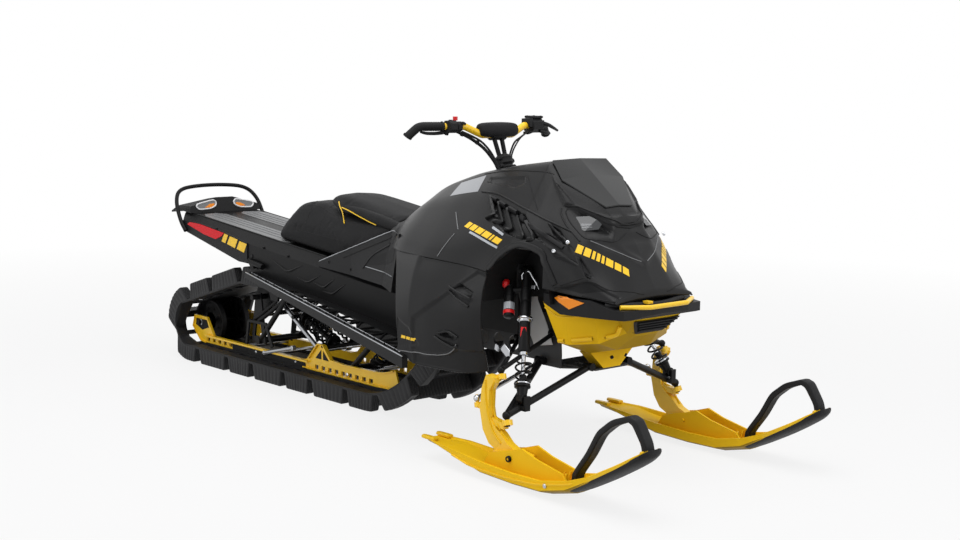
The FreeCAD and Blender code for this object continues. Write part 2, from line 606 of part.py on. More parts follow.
# ---- seat -------------------------------------------------------------------
# Columns: x, bottom z, top z, half width at the bottom, half width at the top.
CUSHION = [
    (-806.0, 612.0, 672.0, 150.0, 120.0),
    (-770.0, 606.0, 722.0, 172.0, 120.0),
    (-690.0, 598.0, 784.0, 176.0, 112.0),
    (-560.0, 586.0, 800.0, 180.0, 112.0),
    (-380.0, 572.0, 769.0, 182.0, 150.0),
    (-60.0, 694.0, 760.0, 180.0, 164.0),
    (0.0, 714.0, 760.0, 172.0, 160.0),
]
SADDLE = [
    (-498.0, 794.0, 822.0, 104.0, 86.0),
    (-446.0, 786.0, 838.0, 126.0, 94.0),
    (-380.0, 764.0, 836.0, 146.0, 104.0),
    (-200.0, 757.0, 812.0, 158.0, 104.0),
    (0.0, 752.0, 782.0, 158.0, 92.0),
]


def padded(rows):
    """Cushion blank: a ruled body through six-sided sections."""
    sections = []
    for x, low, high, half_low, half_high in rows:
        mid = low + (high - low) * 0.45
        sections.append([Vector(x, -half_low + 8, low), Vector(x, half_low - 8, low),
                         Vector(x, half_low, mid), Vector(x, half_high, high),
                         Vector(x, -half_high, high), Vector(x, -half_low, mid)])
    return loft(sections)


saddle = padded(SADDLE)
cushion = padded(CUSHION)
saddle_room = padded([(x, low - SOFT_GAP, high, a, b) for x, low, high, a, b in SADDLE])
cushion = cushion.cut(saddle_room)
over_tunnel = prism_y([(-900, 400), (-900, tunnel_top(-900) + SOFT_GAP),
                       (200, tunnel_top(200) + SOFT_GAP), (200, 400)], -300, 300)
cushion = cushion.cut(over_tunnel)
save("seat_cushion", cushion)
save("seat_saddle", saddle)

# ---- bodywork ---------------------------------------------------------------
# Half sections from the centre line outwards. Columns: x, then five (y, z) points.
HOOD = [
    (431, [(0, 993), (95, 983), (205, 896), (340, 738), (372, 690)]),
    (626, [(0, 1029), (130, 1018), (225, 908), (335, 770), (372, 684)]),
    (819, [(0, 1050), (139, 1046), (222, 912), (315, 800), (345, 655)]),
    (890, [(0, 1000), (158, 984), (222, 890), (300, 780), (322, 640)]),
    (1021, [(0, 897), (68, 893), (190, 812), (254, 730), (264, 618)]),
    (1103, [(0, 765), (78, 758), (165, 702), (222, 660), (240, 612)]),
    (1192, [(0, 626), (92, 622), (150, 614), (188, 606), (196, 598)]),
]
TANK = [
    (2, [(0, 782), (60, 780), (150, 762), (190, 735), (200, 690)]),
    (60, [(0, 806), (80, 800), (165, 776), (205, 742), (215, 690)]),
    (137, [(0, 878), (90, 868), (180, 822), (262, 748), (290, 690)]),
    (222, [(0, 934), (95, 920), (192, 858), (305, 744), (330, 690)]),
    (345, [(0, 972), (95, 960), (200, 884), (328, 740), (358, 690)]),
    (431, [(0, 993), (95, 983), (205, 896), (340, 738), (372, 690)]),
]
# Side panel, right: columns: x, then four (y, z) points from the top edge down.
SIDE = [
    (185, [(316, 686), (334, 672), (350, 655), (362, 640)]),
    (345, [(357, 687), (408, 625), (441, 480), (436, 366)]),
    (520, [(371, 684), (412, 615), (440, 480), (430, 330)]),
    (640, [(370, 680), (405, 605), (425, 470), (398, 300)]),
    (735, [(356, 664), (378, 600), (380, 470), (338, 312)]),
]
BELLY = [
    (897, [(0, 400), (150, 402), (225, 440), (240, 575)]),
    (1000, [(0, 395), (110, 396), (216, 437), (235, 546)]),
    (1100, [(0, 418), (85, 420), (174, 450), (202, 546)]),
    (1156, [(0, 470), (60, 472), (98, 486), (160, 546)]),
    (1205, [(0, 534), (70, 535), (118, 538), (128, 546)]),
]


def whole(x, half):
    """Closed section from its left half: mirrored about the centre plane."""
    left = [Vector(x, y, z) for y, z in reversed(half)]
    return left + [Vector(x, -y, z) for y, z in half if y > 0]


def shell(rows, wall, open_below):
    """Hollow cover: outer loft less an inner loft that runs out of the open side."""
    outer = loft([whole(x, half) for x, half in rows])
    inner_rows = []
    for k, (x, half) in enumerate(rows):
        last = k == len(rows) - 1
        inner_x = x - 2 * wall if last else (x - wall if k == 0 else x)
        sign = -1 if open_below else 1
        inside = [(max(y - wall, 0), z + sign * wall) for y, z in half]
        y_end, z_end = half[-1]
        inside[-1] = (y_end - wall, z_end + sign * 3 * wall)
        inner_rows.append((inner_x, inside))
    return outer.cut(loft([whole(x, half) for x, half in inner_rows]))


hood = shell(HOOD, PANEL, True)
ARCH = [(735, 250), (716, 640), (740, 684), (832, 757), (938, 752), (950, 600), (1000, 250)]
ARCH_IN = 170.0               # the arch is cut only outside this half width
arch_right = prism_y(ARCH, -500, -ARCH_IN)
POST_WELL = 64.0              # hole in the hood round the steering post
post_way = (POST_TOP - POST_FOOT).normalize()
well = Part.makeCylinder(POST_WELL, 300, POST_TOP - post_way * 100, post_way)
lens_outline = [(-188, 842), (-166, 868), (-112, 872), (-96, 852), (-122, 828), (-172, 824)]
LENS_GAP = 0.25
LENS_FRONT = 1012.0
hood_outside = loft([whole(x, half) for x, half in HOOD])
LENS_SUNK = Vector(-2.0, 0, -1.5)     # lens face below the hood's face
lens = prism_x(lens_outline, 950, LENS_FRONT + 60).common(hood_outside.translated(LENS_SUNK))
lens_room = prism_x([(y + (LENS_GAP if y > -140 else -LENS_GAP), z + (LENS_GAP if z > 848 else -LENS_GAP))
                     for y, z in lens_outline], 940, 1150)
hood = hood.cut(Part.makeCompound(both(arch_right) + [well] + both(lens_room)))
save("hood", hood)
save("headlamps", *both(lens))
tank = loft([whole(x, half) for x, half in TANK])
stay_room = prism_y([(318, 600), (480, 600), (480, 830), (420, 800), (330, 700)], -190, 190)
tank = tank.cut(well).cut(stay_room)
save("tank_cover", tank)
side_sections = []
for x, band in SIDE:
    outside = [Vector(x, -y, z) for y, z in band]
    inside = [Vector(x, -y + PANEL, z) for y, z in reversed(band)]
    side_sections.append(outside + inside)
foot_tab = prism_y([(345, board_z(345)), (385, board_z(385)), (385, 400), (345, 400)], -436, -431)
side_panel = fuse([loft(side_sections), foot_tab])
save_pair("side_panel", side_panel)
belly = shell([(x, half) for x, half in BELLY], PANEL, False)
KEEL_TOP = 110.0
KEEL_FOOT = 43.0
keel_tip = prism_x([(-KEEL_TOP, 397), (-KEEL_FOOT, 336), (KEEL_FOOT, 336), (KEEL_TOP, 397)], 950, 1004)
KEEL_SIDE = 60.0              # the keel runs on between these half widths
behind = prism_y([(880, 600), (897, 576), (953, 447), (990, 405), (1000, 380), (880, 380)], -300, -KEEL_SIDE)
belly = belly.cut(Part.makeCompound(both(behind)))
save("belly_pan", fuse([belly, keel_tip]))
GLASS_T = 4.0
GLASS_INSET = 3.0
GLASS_SEAT = 0.2
glass_rows = [(824, 139, 1050, 1046), (890, 158, 1000, 984), (1016, 70, 901, 897)]
glass_sections = []
for x, half, centre_z, edge_z in glass_rows:
    half -= GLASS_INSET
    edge_low = edge_z + GLASS_SEAT
    edge_high = edge_low + GLASS_T
    centre_low = centre_z + GLASS_SEAT
    low = [Vector(x, -half, edge_low), Vector(x, 0, centre_low), Vector(x, half, edge_low)]
    high = [Vector(x, half, edge_high), Vector(x, 0, centre_low + GLASS_T), Vector(x, -half, edge_high)]
    glass_sections.append(low + high)
save("windshield", loft(glass_sections).cut(hood))
SHELF_LOW = 546.0
SHELF_HIGH = 606.0
SHELF_NOSE = SHELF_HIGH - 28.0    # its lower top in front, under the hood's lip
shelf_half = [(905, 246), (1000, 262), (1105, 240), (1180, 216), (1228, 196), (1238, 120), (1242, 40)]
shelf_inner = [(1160, 30), (1150, 120), (1085, 190), (1000, 222), (905, 208)]
outline = [(x, -y) for x, y in shelf_half] + [(x, y) for x, y in reversed(shelf_half)]
outline += [(x, y) for x, y in reversed(shelf_inner)] + [(x, -y) for x, y in shelf_inner]
shelf = prism_z(outline, SHELF_LOW, SHELF_HIGH).common(prism_y(
    [(900, SHELF_LOW + 28.2), (1000, SHELF_LOW), (1232, SHELF_LOW), (1245, SHELF_LOW + 16),
     (1245, SHELF_NOSE), (1186, SHELF_NOSE), (1110, SHELF_HIGH - 2), (900, SHELF_HIGH)], -300, 300))
save("nose_shelf", shelf.cut(hood))
reflector_yz = [(1006, 596), (1020, 604), (1070, 594), (1036, 570)]
marker = prism_y(reflector_yz, -300, -200)
marker = marker.common(prism_z([(1000, -265), (1105, -243), (1105, -240), (1000, -262)], 500, 700))
save("front_reflectors", *both(marker))
NOSE_BAR_R = 8.0
bar_z = SHELF_NOSE + NOSE_BAR_R + 0.3
nose_bar = [Vector(1200, -184, bar_z), Vector(1254, -92, bar_z),
            Vector(1254, 92, bar_z), Vector(1200, 184, bar_z)]
save("nose_bar", bent_tube(nose_bar, NOSE_BAR_R, 22.0).cut(hood))
# The grille lies on the belly's leaning front face.
low_x, low_z = BELLY[-2][0], BELLY[-2][1][0][1]
high_x, high_z = BELLY[-1][0], BELLY[-1][1][0][1]
lean = (high_x - low_x) / (high_z - low_z)
GRILLE_T = 6.0
SLAT = 11.0                   # how far a slat stands out
grille_slab = prism_y([(low_x - 6, low_z), (high_x - 6, high_z),
                       (high_x + GRILLE_T, high_z), (low_x + GRILLE_T, low_z)], -200, 200)
grille = prism_x([(-114, 532), (-66, 482), (66, 482), (114, 532)], 1100, 1300).common(grille_slab)
slats = []
for z, half in [(492, 72), (502, 80), (512, 90), (522, 99)]:
    x = low_x + (z - low_z) * lean + GRILLE_T - 2
    slats.append(block(x, x + SLAT, -half, half, z, z + 4))
grille = fuse([grille] + slats).cut(loft([whole(x, half) for x, half in BELLY]))
save("grille", max(grille.Solids, key=lambda solid: solid.Volume))
# Knee panels. Columns: x, low z, high z, outer y at the bottom and at the top.
KNEE_IN = 190.0
KNEE = [
    (-427, 552, 572, 213, 210),
    (-207, 541, 650, 218, 212),
    (48, 533, 740, 262, 215),
    (185, 527, 746, 330, 292),
]
knee_sections = []
for x, low, high, out_low, out_high in KNEE:
    knee_sections.append([Vector(x, -KNEE_IN, low), Vector(x, -out_low, low), Vector(x, -out_high, high),
                          Vector(x, -KNEE_IN, high)])
knee = loft(knee_sections).cut(outer).cut(tank)
save("knee_panels", *both(knee))

# ---- front frame, engine, post carrier --------------------------------------
PLATE_IN = 140.0
PLATE_OUT = 146.0
frame_line = [(438, 345), (800, 345), (800, 333), (897, 333), (897, 380), (890, 470), (850, 470), (820, 440),
              (745, 440), (738, 500), (720, 500), (720, 430), (438, 430)]
plates = prism_y(frame_line, -PLATE_OUT, -PLATE_IN)
holes = [disc(x, 388, -PLATE_OUT - 1, -PLATE_IN + 1, 26) for x in (500, 580, 660)]
plates = plates.cut(Part.makeCompound(holes))
floor = prism_z([(800, -PLATE_IN), (900, -PLATE_IN), (955, -81.2), (1003, -81.2), (1003, 81.2), (955, 81.2),
                 (900, PLATE_IN), (800, PLATE_IN)], 330, 336)
right_edge = block(800, 897, -PLATE_OUT, -PLATE_IN, 330, 337)
left_edge = block(800, 897, PLATE_IN, PLATE_OUT, 330, 337)
floor = fuse([floor, right_edge, left_edge])
slots = [block(870, 930, y - 9, y + 9, 320, 340) for y in (-96, -40, 40, 96)]
floor = floor.cut(Part.makeCompound(slots))
tower_line = [(-PLATE_OUT, 430), (PLATE_OUT, 430), (205, 612), (205, 684), (-205, 684), (-205, 612)]
tower = prism_x(tower_line, 728, 738)
tower = tower.cut(prism_x([(-90, 500), (90, 500), (120, 640), (-120, 640)], 720, 745))
cross_line = [(-214, 345), (214, 345), (214, 465), (172, 507), (-172, 507), (-214, 465)]
front_cross = prism_x(cross_line, TUNNEL_FRONT, 438)
SHOCK_TOP = Vector(775, -200, 660)
SHOCK_LOW = Vector(950, -376, 262)
SHOCK_PIN_R = 7.0
boss = rod(Vector(738, -200, 660), Vector(794, -200, 660), SHOCK_PIN_R)
save("front_frame", fuse([plates, mirrored(plates), floor, tower, front_cross, boss, mirrored(boss)]))
engine = block(452, 719, -185, 185, 430.2, 672)
save("engine_block", engine)
TUBE_R = 14.0
apex = POST_FOOT + post_way * 30
collar = rod(POST_FOOT, POST_FOOT + post_way * 60, POST_R + 14)
stay_rear = rod(Vector(300, -150, tunnel_top(300) + 18), apex + Vector(-6, -16, 0), TUBE_R)
stay_front = rod(Vector(727, -172, 700), apex + Vector(6, -16, 0), TUBE_R)
foot_rear = block(272, 330, -172, -128, tunnel_top(272) + 0.3, tunnel_top(272) + 26)
foot_front = block(706, 738, -196, -152, 684.3, 702)
pyramid = fuse([collar, stay_rear, mirrored(stay_rear), stay_front, mirrored(stay_front),
                foot_rear, mirrored(foot_rear), foot_front, mirrored(foot_front)])
pyramid = pyramid.cut(Part.makeCylinder(POST_R + 0.3, 400, POST_FOOT - post_way * 100, post_way))
save("post_carrier", pyramid)

# ---- front suspension -------------------------------------------------------
pin_way = (KINGPIN_UPPER - KINGPIN_LOWER).normalize()
ARM_TUBE = 12.0
UPPER_TUBE = 8.0
LOWER_FRONT = Vector(984, -95.5, 345)
LOWER_REAR = Vector(812, -160.2, 348)
UPPER_FRONT = Vector(870, -158.2, 452)
UPPER_REAR = Vector(700, -158.2, 412)
BALL_R = 15.0
lower_ball = KINGPIN_LOWER + pin_way * 16
low_ends = [(LOWER_FRONT, 19.0), (LOWER_REAR, 19.0)]
pieces = [Part.makeSphere(BALL_R, lower_ball), rod(lower_ball, KINGPIN_LOWER - pin_way * 22, KINGPIN_R)]
for end, half in low_ends:
    pieces.append(rod(lower_ball, end, ARM_TUBE))
    pieces.append(rod(end - Vector(half, 0, 0), end + Vector(half, 0, 0), 14.0))
t = 0.20
corner_a = lower_ball + (LOWER_FRONT - lower_ball) * t
corner_b = lower_ball + (LOWER_REAR - lower_ball) * t
gusset = face_of([lower_ball, corner_a, corner_b]).extrude(Vector(0, 0, 8))
pieces.append(gusset)
pieces.append(block(928, 972, SHOCK_LOW.y - 12, SHOCK_LOW.y + 12, 224, 240))
for x in (928, 964):
    pieces.append(block(x, x + 8, SHOCK_LOW.y - 12, SHOCK_LOW.y + 12, 238, SHOCK_LOW.z + 12))
pieces.append(rod(SHOCK_LOW - Vector(22, 0, 0), SHOCK_LOW + Vector(22, 0, 0), SHOCK_PIN_R))
lower_arm = fuse(pieces)
save("lower_arms", *both(lower_arm))
upper_ball = KINGPIN_UPPER + pin_way * 18
pieces = [Part.makeSphere(13.0, upper_ball), rod(upper_ball, KINGPIN_UPPER - pin_way * 12, KINGPIN_R)]
for end in (UPPER_FRONT, UPPER_REAR):
    pieces.append(rod(upper_ball, end, UPPER_TUBE))
    pieces.append(rod(end - Vector(16, 0, 0), end + Vector(16, 0, 0), 12.0))
upper_arm = fuse(pieces)
save("upper_arms", *both(upper_arm))
shock_way = (SHOCK_LOW - SHOCK_TOP).normalize()
shock_long = (SHOCK_LOW - SHOCK_TOP).Length
FORWARD = Vector(1, 0, 0)
front_damper = damper(SHOCK_TOP, SHOCK_LOW, 15.0, 7.0, 0.56, FORWARD, SHOCK_PIN_R)
upper_can = rod(SHOCK_TOP + shock_way * 24, SHOCK_TOP + shock_way * 118, 20.0)
wide_collar = rod(SHOCK_TOP + shock_way * 118, SHOCK_TOP + shock_way * 134, 27.0)
PERCH_AT = 0.93                # lower spring seat, as a share of the shock's length
perch_low = SHOCK_TOP + shock_way * (shock_long * PERCH_AT)
perch = rod(perch_low, perch_low + shock_way * 7, 26.0)
shock = [front_damper, upper_can, wide_collar, perch]
canister_top = SHOCK_TOP + Vector(-34, -44, -34)
canister = rod(canister_top, canister_top + shock_way * 108, 17.0)
link = rod(canister_top + shock_way * 20, SHOCK_TOP + shock_way * 62, 9.0)
knob = Part.makeSphere(12.0, canister_top - shock_way * 8)
save("front_shocks", *both(fuse(shock + [canister, link, knob])))
spring_top = SHOCK_TOP + shock_way * (shock_long * 0.80)
spring = coil_sleeve(spring_top, perch_low - shock_way * 0.2, 26.0, 7.0, 20.0)
save("front_springs", *both(spring))

# ---- spindles, tie rods -----------------------------------------------------
STEM_IN = 424.0
STEM_OUT = 456.0
stem_line = [(850, 340), (828, 290), (822, 215), (838, 150), (868, 108), (905, 90), (1002, 104), (960, 122),
             (928, 150), (898, 168), (872, 196), (864, 230), (866, 290), (884, 316), (884, 334)]
stem = prism_y(stem_line, -STEM_OUT, -STEM_IN)
FOOT_HALF = SKI_WALL_GAP / 2 - 5.0
ski_y = -SKI_STANCE / 2
foot_line = [(905, 62), (940, 56), (1052, 62), (1056, 98), (1010, 104), (905, 92)]
foot = prism_y(foot_line, ski_y - FOOT_HALF, ski_y + FOOT_HALF)
boss_low = rod(KINGPIN_LOWER - pin_way * 18, KINGPIN_LOWER, 18.0)
boss_high = rod(KINGPIN_UPPER - pin_way * 14, KINGPIN_UPPER + pin_way * 4, 16.0)
web_low = prism_y([(880, 172), (936, 166), (934, 186), (880, 196)], -STEM_OUT + 4, -STEM_IN - 4)
web_high = prism_y([(850, 322), (884, 318), (884, 334), (850, 338)], -STEM_OUT + 8, -416)
tie_boss = rod(TIE_ROD_OUTER - pin_way * 30, TIE_ROD_OUTER - pin_way * 13.5, 12.0)
tie_arm = prism_y([(790, 218), (830, 214), (830, 232), (790, 231)], -449, -431)
pin_up = rod(TIE_ROD_OUTER - pin_way * 20, TIE_ROD_OUTER + pin_way * 13, 5.0)
spindle = fuse([stem, foot, boss_low, boss_high, web_low, web_high, tie_boss, tie_arm, pin_up])
bores = [Part.makeCylinder(KINGPIN_R + KINGPIN_GAP, 60, KINGPIN_LOWER - pin_way * 30, pin_way),
         Part.makeCylinder(KINGPIN_R + KINGPIN_GAP, 34, KINGPIN_UPPER - pin_way * 16, pin_way),
         disc(SKI_PIVOT_X, SKI_PIVOT_Z, ski_y - 40, ski_y + 40, SKI_BOLT_R + 0.5)]
ball_room = [Part.makeSphere(BALL_R + 1.0, lower_ball), Part.makeSphere(14.0, upper_ball)]
spindle = spindle.cut(Part.makeCompound(bores)).cut(ball_room[0]).cut(ball_room[1])
save_pair("spindle", spindle)
tie_rod = fuse([rod(TIE_ROD_OUTER, TIE_ROD_INNER, TIE_ROD_R), Part.makeSphere(12.5, TIE_ROD_OUTER),
                Part.makeSphere(12.0, TIE_ROD_INNER)])
tie_rod = tie_rod.cut(rod(TIE_ROD_OUTER - pin_way * 30, TIE_ROD_OUTER + pin_way * 30, 5.4))
save_pair("tie_rod", tie_rod)

# ---- skis -------------------------------------------------------------------
# Columns: x from the bolt, keel z, half width, top z of the side walls.
SKI = [
    (-SKI_REAR, 56.0, 40.0, 74.0),
    (-300.0, 38.0, 62.0, 72.0),
    (-110.0, 5.0, SKI_WIDTH / 2 - 3, 60.0),
    (50.0, 0.0, SKI_WIDTH / 2, 54.0),
    (180.0, 2.0, SKI_WIDTH / 2, 56.0),
    (290.0, 28.0, SKI_WIDTH / 2 - 1, 78.0),
    (385.0, 76.0, SKI_WIDTH / 2 - 6, 112.0),
]
TIP = [
    (385.5, 76.0, SKI_WIDTH / 2 - 6, 112.0),
    (500.0, 139.0, 71.0, 172.0),
    (560.0, 176.0, 64.0, 206.0),
    (590.0, 196.0, 50.0, 224.0),
    (SKI_FRONT, 208.0, 30.0, 234.0),
]
KEEL_HALF = 14.0
CHANNEL = 32.0                # channel floor above the keel


def ski_section(x, keel, half, top, floor_z):
    """Channel section: keel, sole, edges, side walls and the floor between them."""
    side = [(KEEL_HALF, keel), (half - 8, keel + 16), (half, keel + 22),
            (half, top), (half - 9, top), (half - 16, floor_z)]
    right = [Vector(SKI_PIVOT_X + x, ski_y - y, z) for y, z in reversed(side)]
    left = [Vector(SKI_PIVOT_X + x, ski_y + y, z) for y, z in side]
    return left + right


def ski_floor(keel, top):
    """Channel floor, kept under the top of the side walls."""
    return min(keel + CHANNEL, top - 4)


ski_body = loft([ski_section(x, k, h, t, ski_floor(k, t)) for x, k, h, t in SKI])
wall_line = [(870, 40), (900, 84), (960, 104), (1000, 112), (1056, 130),
             (1126, 107), (1240, 84), (1262, 60), (1240, 40)]
walls = []
for side in (-1, 1):
    y = ski_y + side * (SKI_WALL_GAP / 2 + SKI_WALL / 2)
    walls.append(prism_y(wall_line, y - SKI_WALL / 2, y + SKI_WALL / 2))
below_ski = loft([[Vector(SKI_PIVOT_X + x, ski_y - 90, k + 20), Vector(SKI_PIVOT_X + x, ski_y + 90, k + 20),
                   Vector(SKI_PIVOT_X + x, ski_y + 90, -200), Vector(SKI_PIVOT_X + x, ski_y - 90, -200)]
                  for x, k, h, t in SKI])
walls = [wall.cut(below_ski) for wall in walls]
bolt_half = SKI_WALL_GAP / 2 + SKI_WALL + 8
bolt = disc(SKI_PIVOT_X, SKI_PIVOT_Z, ski_y - bolt_half, ski_y + bolt_half, SKI_BOLT_R)
foot_room = disc(SKI_PIVOT_X, SKI_PIVOT_Z, ski_y - SKI_WALL_GAP / 2, ski_y + SKI_WALL_GAP / 2, 46.0)
ski = fuse([ski_body.cut(foot_room)] + walls + [bolt])
save_pair("ski", ski)
tip = loft([ski_section(x, k, h, t, t - 6) for x, k, h, t in TIP])
LOOP_HALF = 17.0
loop_outer = [(1262, 44), (1262, 92), (1335, 172), (1388, 252), (1440, 296),
              (1484, 311), (1522, 303), (1562, 256), (1580, 200)]
loop_inner = [(1556, 194), (1546, 240), (1510, 284), (1484, 292), (1448, 278),
              (1404, 240), (1356, 164), (1290, 86), (1290, 44)]
loop = prism_y(loop_outer + loop_inner, ski_y - LOOP_HALF, ski_y + LOOP_HALF)
handle = fuse([tip, loop]).cut(ski)
save_pair("ski_loop", max(handle.Solids, key=lambda solid: solid.Volume))

# ---- steering ---------------------------------------------------------------
save("steering_post", rod(POST_FOOT - post_way * 24, POST_TOP, POST_R))
bar_mid = POST_TOP + post_way * 128
riser_low = rod(POST_TOP + post_way * 0.2, POST_TOP + post_way * 40, 22.0)
legs = []
for side in (-1, 1):
    leg_foot = POST_TOP + post_way * 20 + Vector(0, side * 13, 0)
    legs.append(rod(leg_foot, bar_mid + Vector(0, side * 20, 0), 8.5))
clamp = disc(bar_mid.x, bar_mid.z, -34, 34, 21.0)
clamp_bore = disc(bar_mid.x, bar_mid.z, -60, 60, BAR_R)
save("bar_riser", fuse([riser_low, clamp] + legs).cut(clamp_bore))
SWEEP = [(0.0, -76.0, 0.0), (-14.0, -150.0, BAR_Z - bar_mid.z), (-36.0, -215.0, BAR_Z - bar_mid.z),
         (-76.0, -316.0, BAR_Z - bar_mid.z)]
bar_right = [bar_mid + Vector(dx, y, dz) for dx, y, dz in SWEEP]
bar_left = [Vector(p.x, -p.y, p.z) for p in reversed(bar_right)]
bar_route = bar_right[::-1] + bar_left[::-1]
bar = bent_tube(bar_route, BAR_R, 30.0)
save("handlebar_tube", bar)
GRIP_R = 17.0
grip_end = bar_mid + Vector(-96, -BAR_HALF, BAR_Z - bar_mid.z - 38)
grip_from = bar_right[2] + (bar_right[3] - bar_right[2]) * 0.12
grip = bent_tube([grip_from, bar_right[3], grip_end], GRIP_R, 24.0)
grip_bore = rod(bar_right[2], bar_right[3] + (bar_right[3] - bar_right[2]).normalize() * 0.2, BAR_R + 0.2)
save("grips", *both(grip.cut(grip_bore)))
pad_line = [(-24, -4), (26, -4), (30, 20), (18, 40), (-18, 40), (-28, 20)]
pad = prism_y([(bar_mid.x + x, bar_mid.z + z) for x, z in pad_line], -96, 96)
pad_room = [disc(bar_mid.x, bar_mid.z, -36, 36, 21.0 + SOFT_GAP),
            bent_tube(bar_route, BAR_R + SOFT_GAP, 30.0)]
pad = pad.cut(Part.makeCompound([pad_room[0]])).cut(pad_room[1])
for side in (-1, 1):
    room_foot = bar_mid - post_way * 60 + Vector(0, side * 18, 0)
    pad = pad.cut(rod(room_foot, bar_mid + Vector(0, side * 20, 0), 10.0))
save("bar_pad", max(pad.Solids, key=lambda solid: solid.Volume))
along_bar = (bar_right[2] - bar_right[1]).normalize()
block_mid = bar_right[1] + (bar_right[2] - bar_right[1]) * 0.62
throttle = block(-24, 24, -24, 20, -24, 22)
throttle.translate(block_mid)
lever = rod(block_mid + Vector(14, -16, -16), block_mid + Vector(10, -112, -22), 5.5)
bore = rod(bar_right[1] - along_bar * 20, bar_right[2] + along_bar * 20, BAR_R + 0.2)
save("throttle_block", fuse([throttle, lever]).cut(bore))
save("stop_button", Part.makeCylinder(9.0, 14.0, block_mid + Vector(0, 6, 22.3)))
mid_left = Vector(block_mid.x, -block_mid.y, block_mid.z)
brake = block(-22, 40, -24, 26, -22, 26)
brake.translate(mid_left)
brake_lever = rod(mid_left + Vector(32, 14, 0), mid_left + Vector(14, 150, -18), 5.5)
bore_left = mirrored(bore)
save("brake_block", fuse([brake, brake_lever]).cut(bore_left))
CABLE_R = 4.0


def cord(points, radius):
    """Cable: each bend as wide as its two runs allow."""
    edges = []
    start = points[0]
    for before, corner, after in zip(points, points[1:], points[2:]):
        to_before = before - corner
        to_after = after - corner
        shorter = min(to_before.Length, to_after.Length)
        to_before.normalize()
        to_after.normalize()
        half_turn = (math.pi - to_before.getAngle(to_after)) / 2
        reach = 0.45 * shorter
        bend = reach / math.tan(half_turn)
        middle_way = (to_before + to_after).normalize()
        centre = corner + middle_way * (bend / math.cos(half_turn))
        edges.append(Part.LineSegment(start, corner + to_before * reach).toShape())
        onward = corner + to_after * reach
        edges.append(Part.Arc(corner + to_before * reach, centre - middle_way * bend, onward).toShape())
        start = onward
    edges.append(Part.LineSegment(start, points[-1]).toShape())
    ring = Part.Wire(Part.makeCircle(radius, points[0], points[1] - points[0]))
    return Part.Wire(edges).makePipeShell([ring], True, False)


cable_route = [
    block_mid + Vector(18, 22.5, -18), block_mid + Vector(32, 54, -32), block_mid + Vector(48, 92, -52),
    POST_TOP + Vector(-8.6, -68.3, 62), POST_TOP + Vector(9.4, -50.3, 18),
    POST_TOP + Vector(29.4, -44.3, -26),
]
save("throttle_cable", cord(cable_route, CABLE_R))
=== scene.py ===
import json
import math
import bmesh
import bpy
import numpy as np
from mathutils import Matrix, Vector
from mathutils.bvhtree import BVHTree


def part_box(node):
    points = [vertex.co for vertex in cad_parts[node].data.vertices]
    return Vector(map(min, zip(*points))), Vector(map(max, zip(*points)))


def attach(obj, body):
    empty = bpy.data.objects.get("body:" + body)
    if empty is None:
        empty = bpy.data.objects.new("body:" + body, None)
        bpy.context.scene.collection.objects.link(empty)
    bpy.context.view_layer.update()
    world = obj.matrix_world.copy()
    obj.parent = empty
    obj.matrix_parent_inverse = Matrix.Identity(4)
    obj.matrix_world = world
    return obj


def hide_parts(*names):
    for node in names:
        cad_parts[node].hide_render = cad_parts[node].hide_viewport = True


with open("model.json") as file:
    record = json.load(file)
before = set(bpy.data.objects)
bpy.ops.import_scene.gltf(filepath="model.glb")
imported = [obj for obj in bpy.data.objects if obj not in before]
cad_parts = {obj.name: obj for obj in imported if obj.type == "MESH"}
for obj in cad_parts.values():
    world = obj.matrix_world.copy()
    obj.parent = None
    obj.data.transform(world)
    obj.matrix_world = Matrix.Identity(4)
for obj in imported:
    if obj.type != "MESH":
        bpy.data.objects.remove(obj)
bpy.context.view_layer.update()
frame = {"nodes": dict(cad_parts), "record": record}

# ---- camera ----
# A long lens from the front right, a little above the saddle, rolled by one degree.
# It stands far enough back to take in the whole machine with little perspective.
scene = bpy.context.scene
turn, rise, roll = math.radians(47.351), math.radians(7.545), math.radians(0.996)
back = Vector((math.sin(turn) * math.cos(rise), -math.cos(turn) * math.cos(rise), math.sin(rise)))
level = Vector((0, 0, 1)).cross(back).normalized()
across = level * math.cos(roll) + back.cross(level) * math.sin(roll)
lens = bpy.data.cameras.new("camera")
camera = bpy.data.objects.new("camera", lens)
scene.collection.objects.link(camera)
camera.matrix_world = Matrix((across, back.cross(across), back)).transposed().to_4x4()
camera.matrix_world.translation = Vector((4.4516, -3.798, 1.344))
lens.lens = 55.68
lens.sensor_width = 36.0
lens.clip_end = 100.0
scene.camera = camera
scene.view_settings.view_transform = "Standard"

# ---- light ----
# A pale sky that is white where it is seen or mirrored, a soft box overhead and two at
# the sides, so that the dark plastic shows its creases as soft bright edges.
def feed(tree, node, values):
    """Inputs of a shader node, each from a plain value or from another node's output."""
    for socket, value in values.items():
        if isinstance(value, bpy.types.NodeSocket):
            tree.links.new(value, node.inputs[socket])
        else:
            node.inputs[socket].default_value = value
    return node


def wired(tree, kind, values, **settings):
    """New shader node of a kind, with its settings and its inputs."""
    made = tree.nodes.new("ShaderNode" + kind)
    for name, value in settings.items():
        setattr(made, name, value)
    return feed(tree, made, values)


def seen_share(tree, unseen, seen):
    """Strength for a backdrop: seen for camera, glossy and transmission rays, unseen for the rest."""
    path = wired(tree, "LightPath", {}).outputs
    either = wired(tree, "Math", {0: path["Is Camera Ray"], 1: path["Is Glossy Ray"]}, operation="MAXIMUM")
    any_of = wired(tree, "Math", {0: either.outputs["Value"], 1: path["Is Transmission Ray"]},
                   operation="MAXIMUM")
    strength = wired(tree, "MapRange", {"To Min": unseen, "To Max": seen, "Value": any_of.outputs["Value"]})
    return strength.outputs["Result"]


